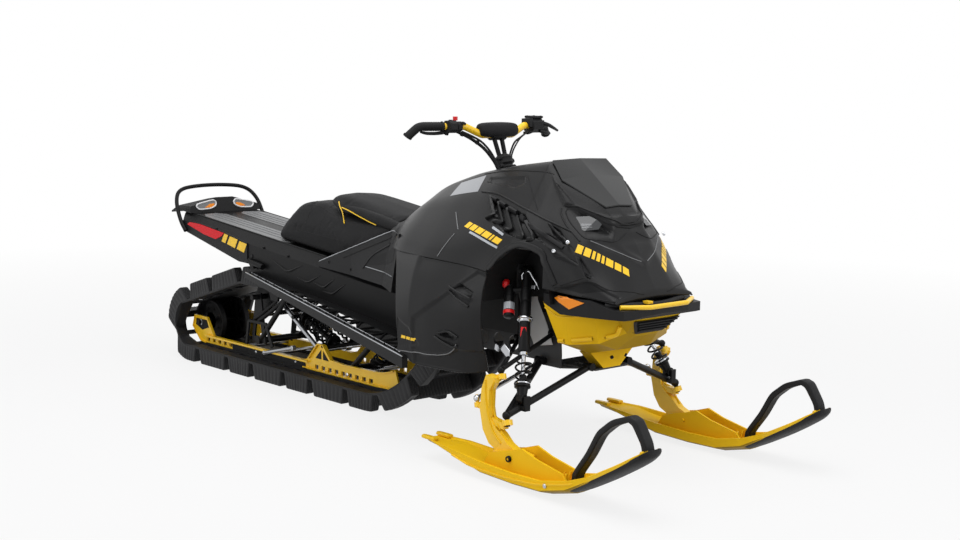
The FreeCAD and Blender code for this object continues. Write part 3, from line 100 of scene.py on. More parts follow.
world = bpy.data.worlds.new("studio")
world.use_nodes = True
sky = world.node_tree.nodes["Background"]
sky.inputs["Color"].default_value = (1.0, 1.0, 1.0, 1)
world.node_tree.links.new(seen_share(world.node_tree, 0.46, 1.0), sky.inputs["Strength"])
scene.world = world
for name, place, aim, power, size in (("overhead", (0.6, -0.6, 4.6), (0.2, 0, 0.4), 165.0, 4.5),
                                      ("front_side", (5.2, 1.0, 2.6), (0.4, 0, 0.5), 60.0, 2.6),
                                      ("near_side", (-0.6, -5.4, 2.4), (0.0, 0, 0.5), 60.0, 3.2)):
    box = bpy.data.lights.new(name, "AREA")
    box.energy = power
    box.size = size
    lamp = bpy.data.objects.new(name, box)
    scene.collection.objects.link(lamp)
    lamp.location = place
    lamp.rotation_euler = (Vector(aim) - Vector(place)).to_track_quat("-Z", "Y").to_euler()


# ---- materials ----
# One procedural material for each slot of the record, all on object coordinates:
# moulded plastic, gloss paint, rubber, vinyl, bare alloy, steel and lenses.
def effect(name, takes, gives, build):
    """Shared shader effect: a node group with the named inputs and outputs, wired by build."""
    group = bpy.data.node_groups.new(name, "ShaderNodeTree")
    for title, kind, value in takes:
        socket = group.interface.new_socket(title, in_out="INPUT", socket_type=kind)
        if value is not None:
            socket.default_value = value
    for title, kind in gives:
        group.interface.new_socket(title, in_out="OUTPUT", socket_type=kind)
    build(group, group.nodes.new("NodeGroupInput"), group.nodes.new("NodeGroupOutput"))
    return group


def wire_grain(group, source, sink):
    """Fine bumps: noise at Scale, raised by Height; a wide noise varies the roughness and tone by Spread."""
    given = source.outputs
    noise = wired(group, "TexNoise", {"Detail": 3.0, "Vector": given["Vector"], "Scale": given["Scale"]})
    bump = wired(group, "Bump", {"Distance": 0.001, "Strength": given["Height"],
                                 "Height": noise.outputs["Fac"]})
    wide = wired(group, "TexNoise", {"Scale": 7.0, "Detail": 4.0, "Vector": given["Vector"]})
    centred = wired(group, "Math", {0: wide.outputs["Fac"], 1: 0.5}, operation="SUBTRACT").outputs["Value"]
    rough, tone = (wired(group, "Math", {0: centred, 1: given["Spread"], 2: base}, operation="MULTIPLY_ADD")
                   for base in (given["Roughness"], 1.0))
    feed(group, sink, {"Normal": bump.outputs["Normal"], "Roughness": rough.outputs["Value"],
                       "Tone": tone.outputs["Value"]})


grain = effect("grain", [("Vector", "NodeSocketVector", None), ("Scale", "NodeSocketFloat", 400.0),
                         ("Height", "NodeSocketFloat", 0.1), ("Roughness", "NodeSocketFloat", 0.4),
                         ("Spread", "NodeSocketFloat", 0.1)],
               [("Normal", "NodeSocketVector"), ("Roughness", "NodeSocketFloat"),
                ("Tone", "NodeSocketFloat")], wire_grain)


def surface(name, color, rough, metal, scale, height, spread, coat=0.0, shine=0.5):
    """Principled finish: colour times the grain's tone, its roughness and its bumps."""
    made = bpy.data.materials.new(name)
    made.use_nodes = True
    tree = made.node_tree
    place = wired(tree, "TexCoord", {})
    fine = wired(tree, "Group", {"Vector": place.outputs["Object"], "Scale": scale, "Height": height,
                                 "Roughness": rough, "Spread": spread}, node_tree=grain)
    shade = wired(tree, "VectorMath", {0: color, "Scale": fine.outputs["Tone"]}, operation="SCALE")
    feed(tree, tree.nodes["Principled BSDF"],
         {"Metallic": metal, "Coat Weight": coat, "Coat Roughness": 0.12, "Specular IOR Level": shine,
          "Base Color": shade.outputs["Vector"], "Roughness": fine.outputs["Roughness"],
          "Normal": fine.outputs["Normal"]})
    return made


# Columns: slot, colour, roughness, metallic, grain scale, grain height, spread, coat, shine.
finishes = {}
for row in (("yellow_metal", (0.92, 0.57, 0.016), 0.34, 0.0, 900.0, 0.06, 0.10, 0.20, 0.4),
            ("yellow_plastic", (0.86, 0.525, 0.012), 0.36, 0.0, 700.0, 0.05, 0.10, 0.03, 0.22),
            ("black_plastic", (0.0105, 0.0105, 0.0112), 0.50, 0.0, 1400.0, 0.35, 0.12, 0.0, 0.17),
            ("black_gloss", (0.0115, 0.0115, 0.0120), 0.32, 0.0, 1200.0, 0.12, 0.08, 0.0, 0.18),
            ("black_metal", (0.0060, 0.0060, 0.0064), 0.38, 0.0, 1200.0, 0.15, 0.12, 0.0, 0.13),
            ("aluminium", (0.42, 0.43, 0.45), 0.36, 1.0, 700.0, 0.10, 0.16, 0.0, 0.5),
            ("engine_metal", (0.020, 0.020, 0.021), 0.60, 0.4, 500.0, 0.30, 0.10, 0.0, 0.4),
            ("steel", (0.46, 0.47, 0.49), 0.24, 1.0, 900.0, 0.06, 0.12, 0.0, 0.5),
            ("rubber", (0.007, 0.007, 0.0075), 0.62, 0.0, 1300.0, 0.30, 0.10, 0.0, 0.2),
            ("track_rubber", (0.012, 0.012, 0.013), 0.58, 0.0, 700.0, 0.35, 0.14, 0.0, 0.3),
            ("seat_vinyl", (0.0125, 0.0125, 0.0132), 0.56, 0.0, 1600.0, 0.45, 0.10, 0.0, 0.10),
            ("pad_foam", (0.007, 0.007, 0.008), 0.70, 0.0, 1500.0, 0.30, 0.10, 0.0, 0.2),
            ("clear_lens", (0.40, 0.42, 0.45), 0.10, 0.0, 60.0, 0.05, 0.04, 0.5, 0.5),
            ("red_lens", (0.68, 0.008, 0.016), 0.24, 0.0, 60.0, 0.05, 0.04, 0.0, 0.18),
            ("orange_lens", (0.86, 0.26, 0.010), 0.22, 0.0, 60.0, 0.05, 0.04, 0.1, 0.3),
            ("red_plastic", (0.70, 0.010, 0.012), 0.30, 0.0, 600.0, 0.05, 0.06, 0.0, 0.4),
            ("dark_screen", (0.019, 0.0195, 0.020), 0.17, 0.0, 40.0, 0.02, 0.03, 0.0, 0.30)):
    finishes[row[0]] = surface(*row)
for part in frame["record"]["subparts"]:
    node = frame["nodes"][part["node"]]
    node.data.materials.clear()
    node.data.materials.append(finishes[part["material_slot"]])
for name, row in (("front_frame", ((0.045, 0.046, 0.048), 0.50, 0.3, 600.0, 0.2, 0.15, 0.0, 0.3)),
                  ("headlamps", ((0.030, 0.032, 0.035), 0.12, 0.0, 60.0, 0.05, 0.04, 0.2, 0.5)),
                  ("tail_lamps", ((0.16, 0.165, 0.17), 0.16, 0.0, 60.0, 0.05, 0.04, 0.2, 0.5))):
    frame["nodes"][name].data.materials[0] = surface(name + "_finish", *row)
# Yellow plastic with painted shade: its colour darkens where it faces down, on the pan and the skis.
yellow_painted_underside_shade = surface("yellow_painted_underside_shade", (0.87, 0.53, 0.012), 0.46, 0.0, 700.0, 0.05, 0.10, 0.0, 0.08)
tree = yellow_painted_underside_shade.node_tree
main = tree.nodes["Principled BSDF"]
faced = wired(tree, "NewGeometry", {})
parted = wired(tree, "SeparateXYZ", {"Vector": faced.outputs["Normal"]})
shaded = wired(tree, "MapRange", {"From Min": -0.75, "From Max": -0.10, "To Min": 0.42, "To Max": 1.0,
                                  "Value": parted.outputs["Z"]})
dimmed = wired(tree, "VectorMath", {0: main.inputs["Base Color"].links[0].from_socket,
                                    "Scale": shaded.outputs["Result"]}, operation="SCALE")
feed(tree, main, {"Base Color": dimmed.outputs["Vector"]})
frame["nodes"]["belly_pan"].data.materials[0] = yellow_painted_underside_shade

# ---- floor ----
# A plain pale floor, far wider than the machine; it keeps the shadow and fades into
# the backdrop.
reach = 30.0
floor_mesh = bpy.data.meshes.new("floor")
floor_mesh.from_pydata([(-reach, -reach, 0), (reach, -reach, 0), (reach, reach, 0), (-reach, reach, 0)],
                       [], [(0, 1, 2, 3)])
floor = bpy.data.objects.new("floor", floor_mesh)
scene.collection.objects.link(floor)
paint = surface("floor_paint", (0.62, 0.62, 0.63), 0.80, 0.0, 3.0, 0.0, 0.02)
tree = paint.node_tree
place = wired(tree, "TexCoord", {})
far = wired(tree, "VectorMath", {0: place.outputs["Object"]}, operation="LENGTH")
fade = wired(tree, "MapRange", {"From Min": 2.0, "From Max": 6.0, "To Min": 0.82,
                                "Value": far.outputs["Value"]})
when = wired(tree, "Math", {0: fade.outputs["Result"], 1: seen_share(tree, 0.0, 1.0)}, operation="MULTIPLY")
white = wired(tree, "Emission", {"Strength": 1.0})
mixed = wired(tree, "MixShader", {"Fac": when.outputs["Value"],
                                  1: tree.nodes["Principled BSDF"].outputs["BSDF"],
                                  2: white.outputs["Emission"]})
feed(tree, tree.nodes["Material Output"], {"Surface": mixed.outputs["Shader"]})
floor_mesh.materials.append(paint)

# ---- track ----
# A moulded rubber belt with windows, tall edge blocks with fluted ends and paddles between.
# Everything stands on one closed curve round the wheels, sprockets and bowed rails.
track_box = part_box("track")
half_track = (track_box[1][1] - track_box[0][1]) / 2
lug, belt_thick, pitch_rows = 0.067, 0.009, 45
forward = track_box[0][0] + 1.62925      # the drawing's zero in this frame
ring = np.array([(-1.455, 0.17425, 0.09825), (-1.010, 0.345, 0.06725), (0.150, 0.325, 0.08625),
                 (-0.150, 0.476, 0.400)])
ring[:, 0] += forward
ring[:, 2] += belt_thick
step = np.roll(ring, -1, 0) - ring
gap = np.hypot(step[:, 0], step[:, 1])
facing = np.arctan2(step[:, 1], step[:, 0]) + np.pi / 2 - np.arcsin(-step[:, 2] / gap)
outward = np.stack([np.cos(facing), np.sin(facing)], 1)
run_start = ring[:, :2] + ring[:, 2:] * outward
run_end = np.roll(ring, -1, 0)[:, :2] + np.roll(ring, -1, 0)[:, 2:] * outward
run_long = np.hypot(*(run_end - run_start).T)
arc_turn = np.mod(facing - np.roll(facing, -1), 2 * np.pi)
arc_r = np.roll(ring, -1, 0)[:, 2]
marks = np.concatenate([[0], np.cumsum(np.stack([run_long, arc_turn * arc_r], 1).ravel())])
pitch = marks[-1] / pitch_rows
turned_by = np.concatenate([[0], np.cumsum(np.stack([0 * run_long, arc_turn], 1).ravel())])


def on_track(along, out, side):
    """Points at a distance along the outer belt face, out from it and across the machine."""
    along, out, side = np.broadcast_arrays(along, out, side)
    at = np.mod(along, marks[-1])
    piece = np.clip(np.searchsorted(marks, at, side="right") - 1, 0, 7)
    leg, on_arc, into = piece // 2, piece % 2, at - marks[piece]
    angle = facing[leg] - on_arc * into / arc_r[leg]
    normal = np.stack([np.cos(angle), np.sin(angle)], -1)
    way = (run_end - run_start)[leg] / run_long[leg][..., None]
    straight = run_start[leg] + way * into[..., None]
    centre = np.roll(ring, -1, 0)[leg, :2]
    curved = centre + normal * arc_r[leg][..., None]
    place = np.where(on_arc[..., None] == 1, curved, straight) + normal * out[..., None]
    return np.stack([place[..., 0], side, place[..., 1]], -1)


def to_frame(points):
    """Drawing millimetres to metres in this frame."""
    return (points + np.array([forward * 1000, 0, 0])) * 0.001


def to_drawing(points):
    """Metres in this frame to drawing millimetres."""
    return np.array(points) * 1000 - np.array([forward * 1000, 0, 0])


def net(shape, wrap_first, wrap_last):
    """Quads between neighbours of a grid of points; a wrapped side joins its last to its first."""
    index = np.arange(shape[0] * shape[1]).reshape(shape)
    if wrap_first:
        index = np.concatenate([index, index[:1]])
    if wrap_last:
        index = np.concatenate([index, index[:, :1]], 1)
    return np.stack([index[:-1, :-1], index[1:, :-1], index[1:, 1:], index[:-1, 1:]], -1).reshape(-1, 4)


def piece(name, points, faces, slot, smooth=None):
    """New object of the machine from points and faces, in a slot's finish; smooth is an edge angle."""
    mesh = bpy.data.meshes.new(name)
    mesh.from_pydata(points.reshape(-1, 3).tolist(), [], [list(face) for face in faces])
    mesh.materials.append(finishes[slot])
    made = bpy.data.objects.new(name, mesh)
    scene.collection.objects.link(made)
    if smooth is not None:
        mesh.shade_smooth()
        mesh.set_sharp_from_angle(angle=math.radians(smooth))
    return made


def closed_rings(points):
    """Faces of many tubes of rings: points is pieces x rings x corners x 3; both ends are capped."""
    count, levels, corners = points.shape[:3]
    wall = net((levels, corners), False, True)
    first = np.arange(corners)[::-1]
    faces = []
    for k in range(count):
        base = k * levels * corners
        faces += (wall + base).tolist()
        faces.append((first + base).tolist())
        faces.append((first[::-1] + base + (levels - 1) * corners).tolist())
    return faces


def lug_blocks(starts, longs, y_in, y_out, flutes, depth):
    """Fluted blocks on the belt; their tops keep their length round a wheel and so fan out."""
    height = np.array([-0.003, 0.006, 0.024, 0.045, 0.0600, 0.0650, lug])
    lean = 0.002 + 0.011 * np.clip(height, 0, 1) / lug + np.array([0, 0, 0, 0, 0, 0.0015, 0.005])
    ease = np.array([-0.001, 0, 0, 0.001, 0.002, 0.0035, 0.007])
    t = np.linspace(0, 1, flutes * 6 + 1)
    wave = depth * np.abs(np.sin(np.pi * flutes * t)) ** 0.6 - depth
    ribs = np.linspace(0.06, 0.94, 41)
    u = np.concatenate([np.zeros(41), t, np.ones(4), t[::-1]])      # across: 0 outer, 1 inner
    v = np.concatenate([ribs, np.ones(len(t)), np.linspace(0.8, 0.2, 4), np.zeros(len(t))])
    bulge = np.concatenate([np.zeros(41), wave, np.zeros(4), -wave])
    groove = np.concatenate([0.0032 - 0.0032 * np.abs(np.sin(np.pi * 8 * ribs)) ** 0.6,
                             np.zeros(2 * len(t) + 4)])
    fade = np.array([0, 0.6, 1, 1, 1, 0.8, 0.4])
    along = (starts[:, None, None] + lean[None, :, None] +
             v * (longs[:, None, None] - 2 * lean[None, :, None]) + bulge * fade[None, :, None])
    across = (y_out - ease[:, None]) + u * ((y_in + ease[:, None]) - (
        y_out - ease[:, None])) - groove * fade[:, None]
    middle = (starts + longs / 2)[:, None, None]
    bend = [np.interp(np.mod(at, marks[-1]), marks, turned_by) + 2 * np.pi * (at // marks[-1])
            for at in (along, middle)]
    reach = np.abs(along - middle) + 1e-6
    along = middle + (along - middle) * reach / (reach + height[None, :, None] * np.abs(bend[0] - bend[1]))
    return on_track(along, np.broadcast_to(height[None, :, None], along.shape),
                    np.broadcast_to(across, along.shape))


first = 0.060
block_at = first + pitch * (np.arange(9)[:, None] * 5 + np.array([0, 2.22])).ravel()
block_long = pitch * np.tile([1.98, 2.5], 9)
edge = lug_blocks(block_at, block_long, 0.158, half_track, 5, 0.0045)
paddle_at = first + pitch * (np.arange(9)[:, None] * 5 + np.array([1, 3])).ravel() - 0.014
paddles = lug_blocks(paddle_at, np.full(18, 0.036), -0.156, 0.156, 19, 0.003)
sides = np.concatenate([edge, edge * np.array([1, -1, 1])])
window = 0.067 / pitch
cuts = np.concatenate([np.linspace(0, window, 5), [1.0]])[:-1]
belt_along = first + pitch / 2 - 0.0335 + pitch * (np.arange(pitch_rows)[:, None] + cuts).ravel()
belt_across = np.array([-half_track, -0.150, -0.092, 0.092, 0.150, half_track])
layers = np.stack([on_track(belt_along[:, None], np.full((1, 6), depth), belt_across[None, :])
                   for depth in (0.0, -belt_thick)])
belt_quads = net(layers.shape[1:3], True, False).reshape(-1, 5, 4)
row_in_pitch = np.arange(len(belt_along)) % len(cuts)
holes = (row_in_pitch[:, None] < 4) & np.isin(np.arange(5), (1, 3))[None, :]
size = layers.shape[1] * 6
outer = belt_quads[~holes]
index = np.arange(size).reshape(layers.shape[1:3])
following = np.roll(index, -1, 0)
rims = [np.stack([line, after, after + size, line + size], -1).reshape(-1, 4)
        for line, after in ((index[:, 5], following[:, 5]), (following[:, 0], index[:, 0]))]
in_window = row_in_pitch < 4
for column in (1, 3):
    rims.append(np.stack([index[:, column], following[:, column], following[:, column] + size,
                          index[:, column] + size], -1)[in_window])
    rims.append(np.stack([following[:, column + 1], index[:, column + 1], index[:, column + 1] + size,
                          following[:, column + 1] + size], -1)[in_window])
    for rows, flip in ((row_in_pitch == 0, False), (row_in_pitch == 4, True)):
        a, b = index[rows, column], index[rows, column + 1]
        ends = np.stack([b, a, a + size, b + size], -1)
        rims.append(ends[:, ::-1] if flip else ends)
belt_faces = np.concatenate([outer, outer[:, ::-1] + size] + rims).tolist()
belt_count = layers.size // 3
side_count = sides.size // 3
points = np.concatenate([layers.reshape(-1, 3), sides.reshape(-1, 3), paddles.reshape(-1, 3)])
faces = belt_faces + [[i + belt_count for i in face] for face in closed_rings(sides)]
faces += [[i + belt_count + side_count for i in face] for face in closed_rings(paddles)]
belt = piece("track_rubber_loop", points, faces, "track_rubber", 50)
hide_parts("track")
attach(belt, "chassis")

# ---- hood and tank cover ----
# One moulded skin from the seat to the nose: half sections eased at every corner, then the
# brow, lamp pockets, louvre bed and creases as raised or sunk areas.
# Columns: x, then (y, z) of the top middle, top edge, shoulder, flank and lower edge, mm.
cover_rows = [
    (2, [(0, 782), (60, 780), (150, 762), (190, 735), (200, 690)]),
    (60, [(0, 806), (80, 800), (165, 776), (205, 742), (215, 690)]),
    (137, [(0, 878), (90, 868), (180, 822), (262, 748), (290, 690)]),
    (222, [(0, 934), (95, 920), (192, 858), (305, 744), (330, 690)]),
    (345, [(0, 972), (95, 960), (200, 884), (328, 740), (358, 690)]),
    (431, [(0, 993), (98, 985), (205, 900), (342, 738), (372, 690)]),
    (626, [(0, 1029), (130, 1020), (224, 908), (338, 768), (372, 684)]),
    (819, [(0, 1050), (140, 1047), (240, 892), (318, 800), (345, 655)]),
    (890, [(0, 1000), (158, 984), (232, 880), (300, 780), (322, 640)]),
    (1021, [(0, 897), (72, 893), (190, 812), (254, 730), (264, 618)]),
    (1062, [(0, 838), (76, 834), (184, 760), (240, 696), (254, 614)]),
    (1103, [(0, 768), (80, 761), (168, 706), (224, 660), (240, 612)]),
    (1192, [(0, 630), (96, 625), (152, 615), (189, 606), (196, 598)]),
    (1195, [(0, 604), (94, 602), (149, 599), (186, 598), (194, 597)]),
]


def eased(corners, share, at):
    """Points on a chain of corners whose corners are cut by parabolas.

    At a distance t from corner k, below its share s, the point is the parabola from the chain
    at k - s, through corner k as its handle, to the chain at k + s; elsewhere it is the chain.
    """
    last = len(corners) - 1
    lean = (-1,) + (1,) * (corners.ndim - 1)

    def chain(t):
        low = np.clip(np.floor(t).astype(int), 0, last - 1)
        part = (t - low).reshape(lean)
        return corners[low] * (1 - part) + corners[low + 1] * part

    k = np.clip(np.round(at).astype(int), 1, last - 1)
    s = np.asarray(share)[k]
    w = np.clip((at - k + s) / (2 * s), 0, 1).reshape(lean)
    curve = chain(k - s) * (1 - w) ** 2 + corners[k] * 2 * w * (1 - w) + chain(k + s) * w ** 2
    return np.where((np.abs(at - k) < s).reshape(lean), curve, chain(at))


def inside(polygon, first, second):
    """Signed distance to a polygon's outline in a plane: above zero within it."""
    start = np.array(polygon, float)
    edge = np.roll(start, -1, 0) - start
    away = np.stack([first, second], -1)[..., None, :] - start
    along = np.clip((away * edge).sum(-1) / (edge ** 2).sum(-1), 0, 1)
    reach = np.linalg.norm(away - along[..., None] * edge, axis=-1).min(-1)
    crosses = (start[:, 1] > second[..., None]) != (np.roll(start, -1, 0)[:, 1] > second[..., None])
    slope = edge[:, 0] / np.where(edge[:, 1] == 0, 1e-9, edge[:, 1])
    hits = first[..., None] < slope * (second[..., None] - start[:, 1]) + start[:, 0]
    odd = (crosses & hits).sum(-1) % 2
    return np.where(odd == 1, reach, -reach)


def step_up(value, width):
    """Smooth step from nought to one while value rises from nought to width."""
    t = np.clip(value / width, 0, 1)
    return t * t * (3 - 2 * t)


def line_gap(points, line):
    """Distance from each point to a chain in space."""
    corners = np.array(line, float)
    edge = corners[1:] - corners[:-1]
    away = points[..., None, :] - corners[:-1]
    along = np.clip((away * edge).sum(-1) / (edge ** 2).sum(-1), 0, 1)
    return np.linalg.norm(away - along[..., None] * edge, axis=-1).min(-1)


def walled(skin_piece):
    """Wall of 4 mm on the inner side of a moulded skin."""
    wall = skin_piece.modifiers.new("wall", "SOLIDIFY")
    wall.thickness = 0.004
    wall.offset = -1.0


row_x = np.array([row[0] for row in cover_rows], float)
table = np.array([[(x, -y, z) for y, z in half] for x, half in cover_rows], float)
row_share = np.full(len(row_x), 0.45)
row_share[[list(row_x).index(819), list(row_x).index(1192)]] = 0.05
stations = np.concatenate([np.linspace(2, 431, 60)[:-1], np.linspace(431, 819, 76)[:-1],
                           np.linspace(819, 1192, 92),
                           [1193, 1194, 1195]])
lengthwise = eased(table, row_share, np.interp(stations, row_x, np.arange(len(row_x))))
round_at = np.interp(np.linspace(0, 1, 118), [0, 0.16, 0.46, 0.78, 1.0], [0, 1, 2, 3, 4])
half_skin = eased(np.swapaxes(lengthwise, 0, 1), [0.3, 0.16, 0.22, 0.45, 0.3], round_at)
half_skin = np.swapaxes(half_skin, 0, 1)
tangent_u = np.gradient(half_skin, axis=0)
tangent_v = np.gradient(half_skin, axis=1)
normal = np.cross(tangent_v, tangent_u)
normal /= np.linalg.norm(normal, axis=-1, keepdims=True) + 1e-9
normal[:, 0, 1] = 0
x, y, z = np.moveaxis(half_skin, -1, 0)
lift = np.zeros(x.shape)
# Raised and sunk areas. Columns: height, width of the edge, outline in x and z, mm.
for high, width, outline in (
        (9, 7, [(838, 1016), (862, 992), (915, 944), (952, 908), (1010, 880), (1040, 870),
                (1062, 868), (1062, 831), (1024, 861), (966, 894), (926, 902), (880, 960)]),
        (-15, 8, [(592, 914), (640, 908), (820, 870), (905, 800), (880, 782), (780, 800), (676, 846)]),
        (-5, 8, [(1094, 768), (1076, 806), (1080, 822), (1100, 792)]),
        (-9, 6, [(915, 846), (960, 826), (1006, 776), (984, 780), (940, 810)]),
        (-8, 4, [(1040, 742), (1050, 740), (1096, 684), (1094, 670), (1082, 676)]),
        (-5, 4, [(884, 800), (1052, 716), (1040, 742), (1010, 774), (930, 812)]),
        (-6, 5, [(516, 973), (722, 990), (742, 966), (700, 950), (524, 954)]),
        (-5, 4, [(985, 628), (1092, 668), (1160, 632), (1188, 618), (1188, 560), (980, 560)])):
    lift += high * step_up(inside(outline, x, z), width)
pocket = inside([(930, 896), (966, 893), (1024, 860), (1064, 828), (1082, 788), (1027, 806), (966, 862)],
                x, z)
floor_line = inside([(930, 896), (966, 862), (1027, 806), (1082, 788), (1200, 788),
                     (1200, 1000), (930, 1000)], x, z)
lift -= 22 * step_up(pocket, 5) * step_up(floor_line, 46) * step_up(-y - 14, 40)
ridge = line_gap(half_skin, [(1041, -168, 797), (1134, -7, 717), (1143, 60, 700)])
lift += 5 * np.exp(-(ridge / 13) ** 2) * step_up(x - 1020, 60)
half_skin = half_skin + normal * lift[..., None]
left = half_skin[:, :0:-1] * np.array([1, -1, 1])
skin = np.concatenate([left, half_skin], 1)
cover = piece("hood_skin", to_frame(skin), net(skin.shape[:2], False, False)[:, ::-1], "black_gloss")
shape = bmesh.new()
shape.from_mesh(cover.data)
arch = np.array([(735, 250), (716, 640), (740, 684), (832, 757), (938, 752), (950, 600),
                 (1000, 250)]) * 0.001
arch[:, 0] += forward
for a, b in zip(arch, np.roll(arch, -1, 0)):
    bmesh.ops.bisect_plane(shape, geom=shape.verts[:] + shape.edges[:] + shape.faces[:], dist=1e-6,
                           plane_co=(a[0], 0, a[1]), plane_no=(b[1] - a[1], 0, a[0] - b[0]))
middles = np.array([face.calc_center_median() for face in shape.faces])
post_foot = np.array([0.520 + forward, 0, 0.805])
post_way = np.array([-0.367, 0, 0.930])
off_post = middles - post_foot
off_post -= (off_post @ post_way)[:, None] * post_way
gone = (inside(arch, middles[:, 0], middles[:, 2]) > 0) & (np.abs(middles[:, 1]) > 0.17)
gone |= (np.linalg.norm(off_post, axis=1) < 0.064) & (middles[:, 2] > 0.9)
bmesh.ops.delete(shape, geom=[face for face, out in zip(shape.faces, gone) if out], context="FACES")
shape.to_mesh(cover.data)
shape.free()
cover.data.shade_smooth()
cover.data.set_sharp_from_angle(angle=math.radians(32))
walled(cover)
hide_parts("hood", "tank_cover")
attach(cover, "chassis")

# ---- front shocks ----
# Turned alloy bodies with a collar and a bridged reservoir, and an open steel coil near the foot.
# Bars, turned parts, coils and plates are points and faces in mm; gather joins them.
def unit(vectors):
    """Vectors brought to length one."""
    return vectors / (np.linalg.norm(vectors, axis=-1, keepdims=True) + 1e-9)


def axes(way):
    """Two directions square to a way and to each other."""
    side = unit(np.cross(way, np.eye(3)[np.argmin(np.abs(way))]))
    return side, np.cross(way, side)


def bar(corners, radius, sides=14, share=0.42, steps=8):
    """Round bar through eased corners; radius may be one value or one for each corner."""
    chain = np.array(corners, float)
    count = len(chain)
    at = np.linspace(0, count - 1, (count - 1) * steps + 1)
    line = eased(chain, [share] * count, at)
    wide = np.interp(at, np.arange(count), np.broadcast_to(radius, count))[:, None, None]
    way = unit(np.gradient(line, axis=0))
    side = unit(np.cross(way, np.eye(3)[np.argmin(np.abs(chain[-1] - chain[0]))]))
    up = np.cross(side, way)
    angle = np.linspace(0, 2 * np.pi, sides, endpoint=False)[:, None]
    ring = line[:, None] + (side[:, None] * np.cos(angle) + up[:, None] * np.sin(angle)) * wide
    return ring, closed_rings(ring[None])


def turned(start, end, profile, sides=28):
    """Solid of revolution from start towards end: pairs of distance along and radius."""
    start = np.array(start, float)
    way = unit(np.array(end, float) - start)
    side, up = axes(way)
    angle = np.linspace(0, 2 * np.pi, sides, endpoint=False)[:, None]
    at = np.array(profile, float)[:, :, None, None]
    ring = start + way * at[:, 0] + (side * np.cos(angle) + up * np.sin(angle)) * at[:, 1]
    return ring, closed_rings(ring[None])


def coil(start, end, radius, wire, turns):
    """Spring wire wound about the line from start to end."""
    start, end = np.array(start, float), np.array(end, float)
    t = np.linspace(0, 1, int(turns * 26))[:, None]
    way = unit(end - start)
    side, up = axes(way)
    out = side * np.cos(2 * np.pi * turns * t) + up * np.sin(2 * np.pi * turns * t)
    middle = start + (end - start) * t + out * radius
    angle = np.linspace(0, 2 * np.pi, 10, endpoint=False)[:, None]
    ring = middle[:, None] + (out[:, None] * np.cos(angle) + way * np.sin(angle)) * wire
    return ring, closed_rings(ring[None])


def slab(outline, origin, thick, first=(1, 0, 0), second=(0, 0, 1), ease=1.2):
    """Plate with eased edges: an outline on two axes from an origin, thick along their cross."""
    line = np.array(outline, float)
    if (line[:, 0] * np.roll(line[:, 1], -1) - np.roll(line[:, 0], -1) * line[:, 1]).sum() < 0:
        line = line[::-1]
    before, after = unit(line - np.roll(line, 1, 0)), unit(np.roll(line, -1, 0) - line)
    inward = np.stack([-(before + after)[:, 1], (before + after)[:, 0]], 1)
    inward /= np.maximum(1 + (before * after).sum(1, keepdims=True), 0.4)
    first, second = unit(np.array(first, float)), unit(np.array(second, float))
    levels = []
    for high, pull in ((0, ease), (ease, 0), (thick - ease, 0), (thick, ease)):
        flat = line + inward * pull
        levels.append(np.array(origin, float) + flat[:, :1] * first + flat[:, 1:] *
                      second + np.cross(first, second) * high)
    ring = np.array(levels)
    return ring, closed_rings(ring[None])


def gather(name, parts, slot, body="chassis", nodes=(), smooth=40, both=False):
    """One piece of the machine from parts in mm; both adds their mirror images on the left."""
    parts = list(parts)
    if both:
        parts += [(ring * np.array([1, -1, 1]), faces) for ring, faces in parts]
    points, links, count = [], [], 0
    for ring, faces in parts:
        flat = ring.reshape(-1, 3)
        points.append(flat)
        links += [[corner + count for corner in face] for face in faces]
        count += len(flat)
    made = piece(name, to_frame(np.concatenate(points)), links, slot, smooth)
    shape = bmesh.new()
    shape.from_mesh(made.data)
    bmesh.ops.recalc_face_normals(shape, faces=shape.faces)
    shape.to_mesh(made.data)
    shape.free()
    made.data.set_sharp_from_angle(angle=math.radians(smooth))
    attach(made, body)
    if nodes:
        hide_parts(*nodes)
    return made


shock_top, shock_foot = np.array([775.0, -200, 660]), np.array([944.0, -377, 262])
shock_way = unit(shock_foot - shock_top)
body_line = [(0, 4), (0, 14), (18, 16), (24, 15), (64, 15.5), (66, 19), (112, 19.5), (114, 17), (118, 19),
             (172, 19), (173, 14), (192, 14), (193, 20), (296, 20), (300, 17), (302, 6)]
shock_body = [turned(shock_top, shock_foot, body_line)]
eye_way = np.array([1.0, 0, 0])
shock_body.append(turned(shock_top - eye_way * 14, shock_top,
                         [(0, 9), (0, 18), (2, 20), (26, 20), (28, 18), (28, 9)]))
stop = [(382, 8), (383, 12), (390, 13), (398, 11), (404, 13), (408, 12), (409, 8)]
shock_body.append(turned(shock_top, shock_foot, stop))
shock_body.append(turned(shock_top, shock_foot,
                         [(418, 8), (418, 25), (421, 28), (426, 28), (430, 20), (456, 16),
                          (470, 14), (471, 6)]))
shock_body.append(turned(shock_foot - eye_way * 15, shock_foot,
                         [(0, 9), (0, 15), (2, 17), (28, 17), (30, 15), (30, 9)]))
tank_top = shock_top + np.array([-30, -52, -52])
tank_line = [(0, 6), (0, 16), (5, 18), (36, 18), (37, 16.5), (38, 19), (90, 19),
             (98, 19), (112, 18), (116, 12), (116, 4)]
shock_body.append(turned(tank_top, tank_top + shock_way, tank_line))
shock_body.append(bar([tank_top + shock_way * 14, shock_top + shock_way * 66], 11))
gather("shock_body", shock_body, "black_metal", nodes=["front_shocks"], both=True)
collar = [turned(shock_top, shock_foot, [(172, 15), (172, 25), (175, 27.5), (181, 27.5),
                                         (183, 24), (187, 24), (191, 21), (192, 15)])]
collar.append(turned(shock_top, shock_foot, [(301, 8), (302, 15), (312, 15), (314, 8)]))
collar.append(turned(shock_top, shock_foot, [(300, 4), (300, 7.2), (420, 7.2), (420, 4)]))
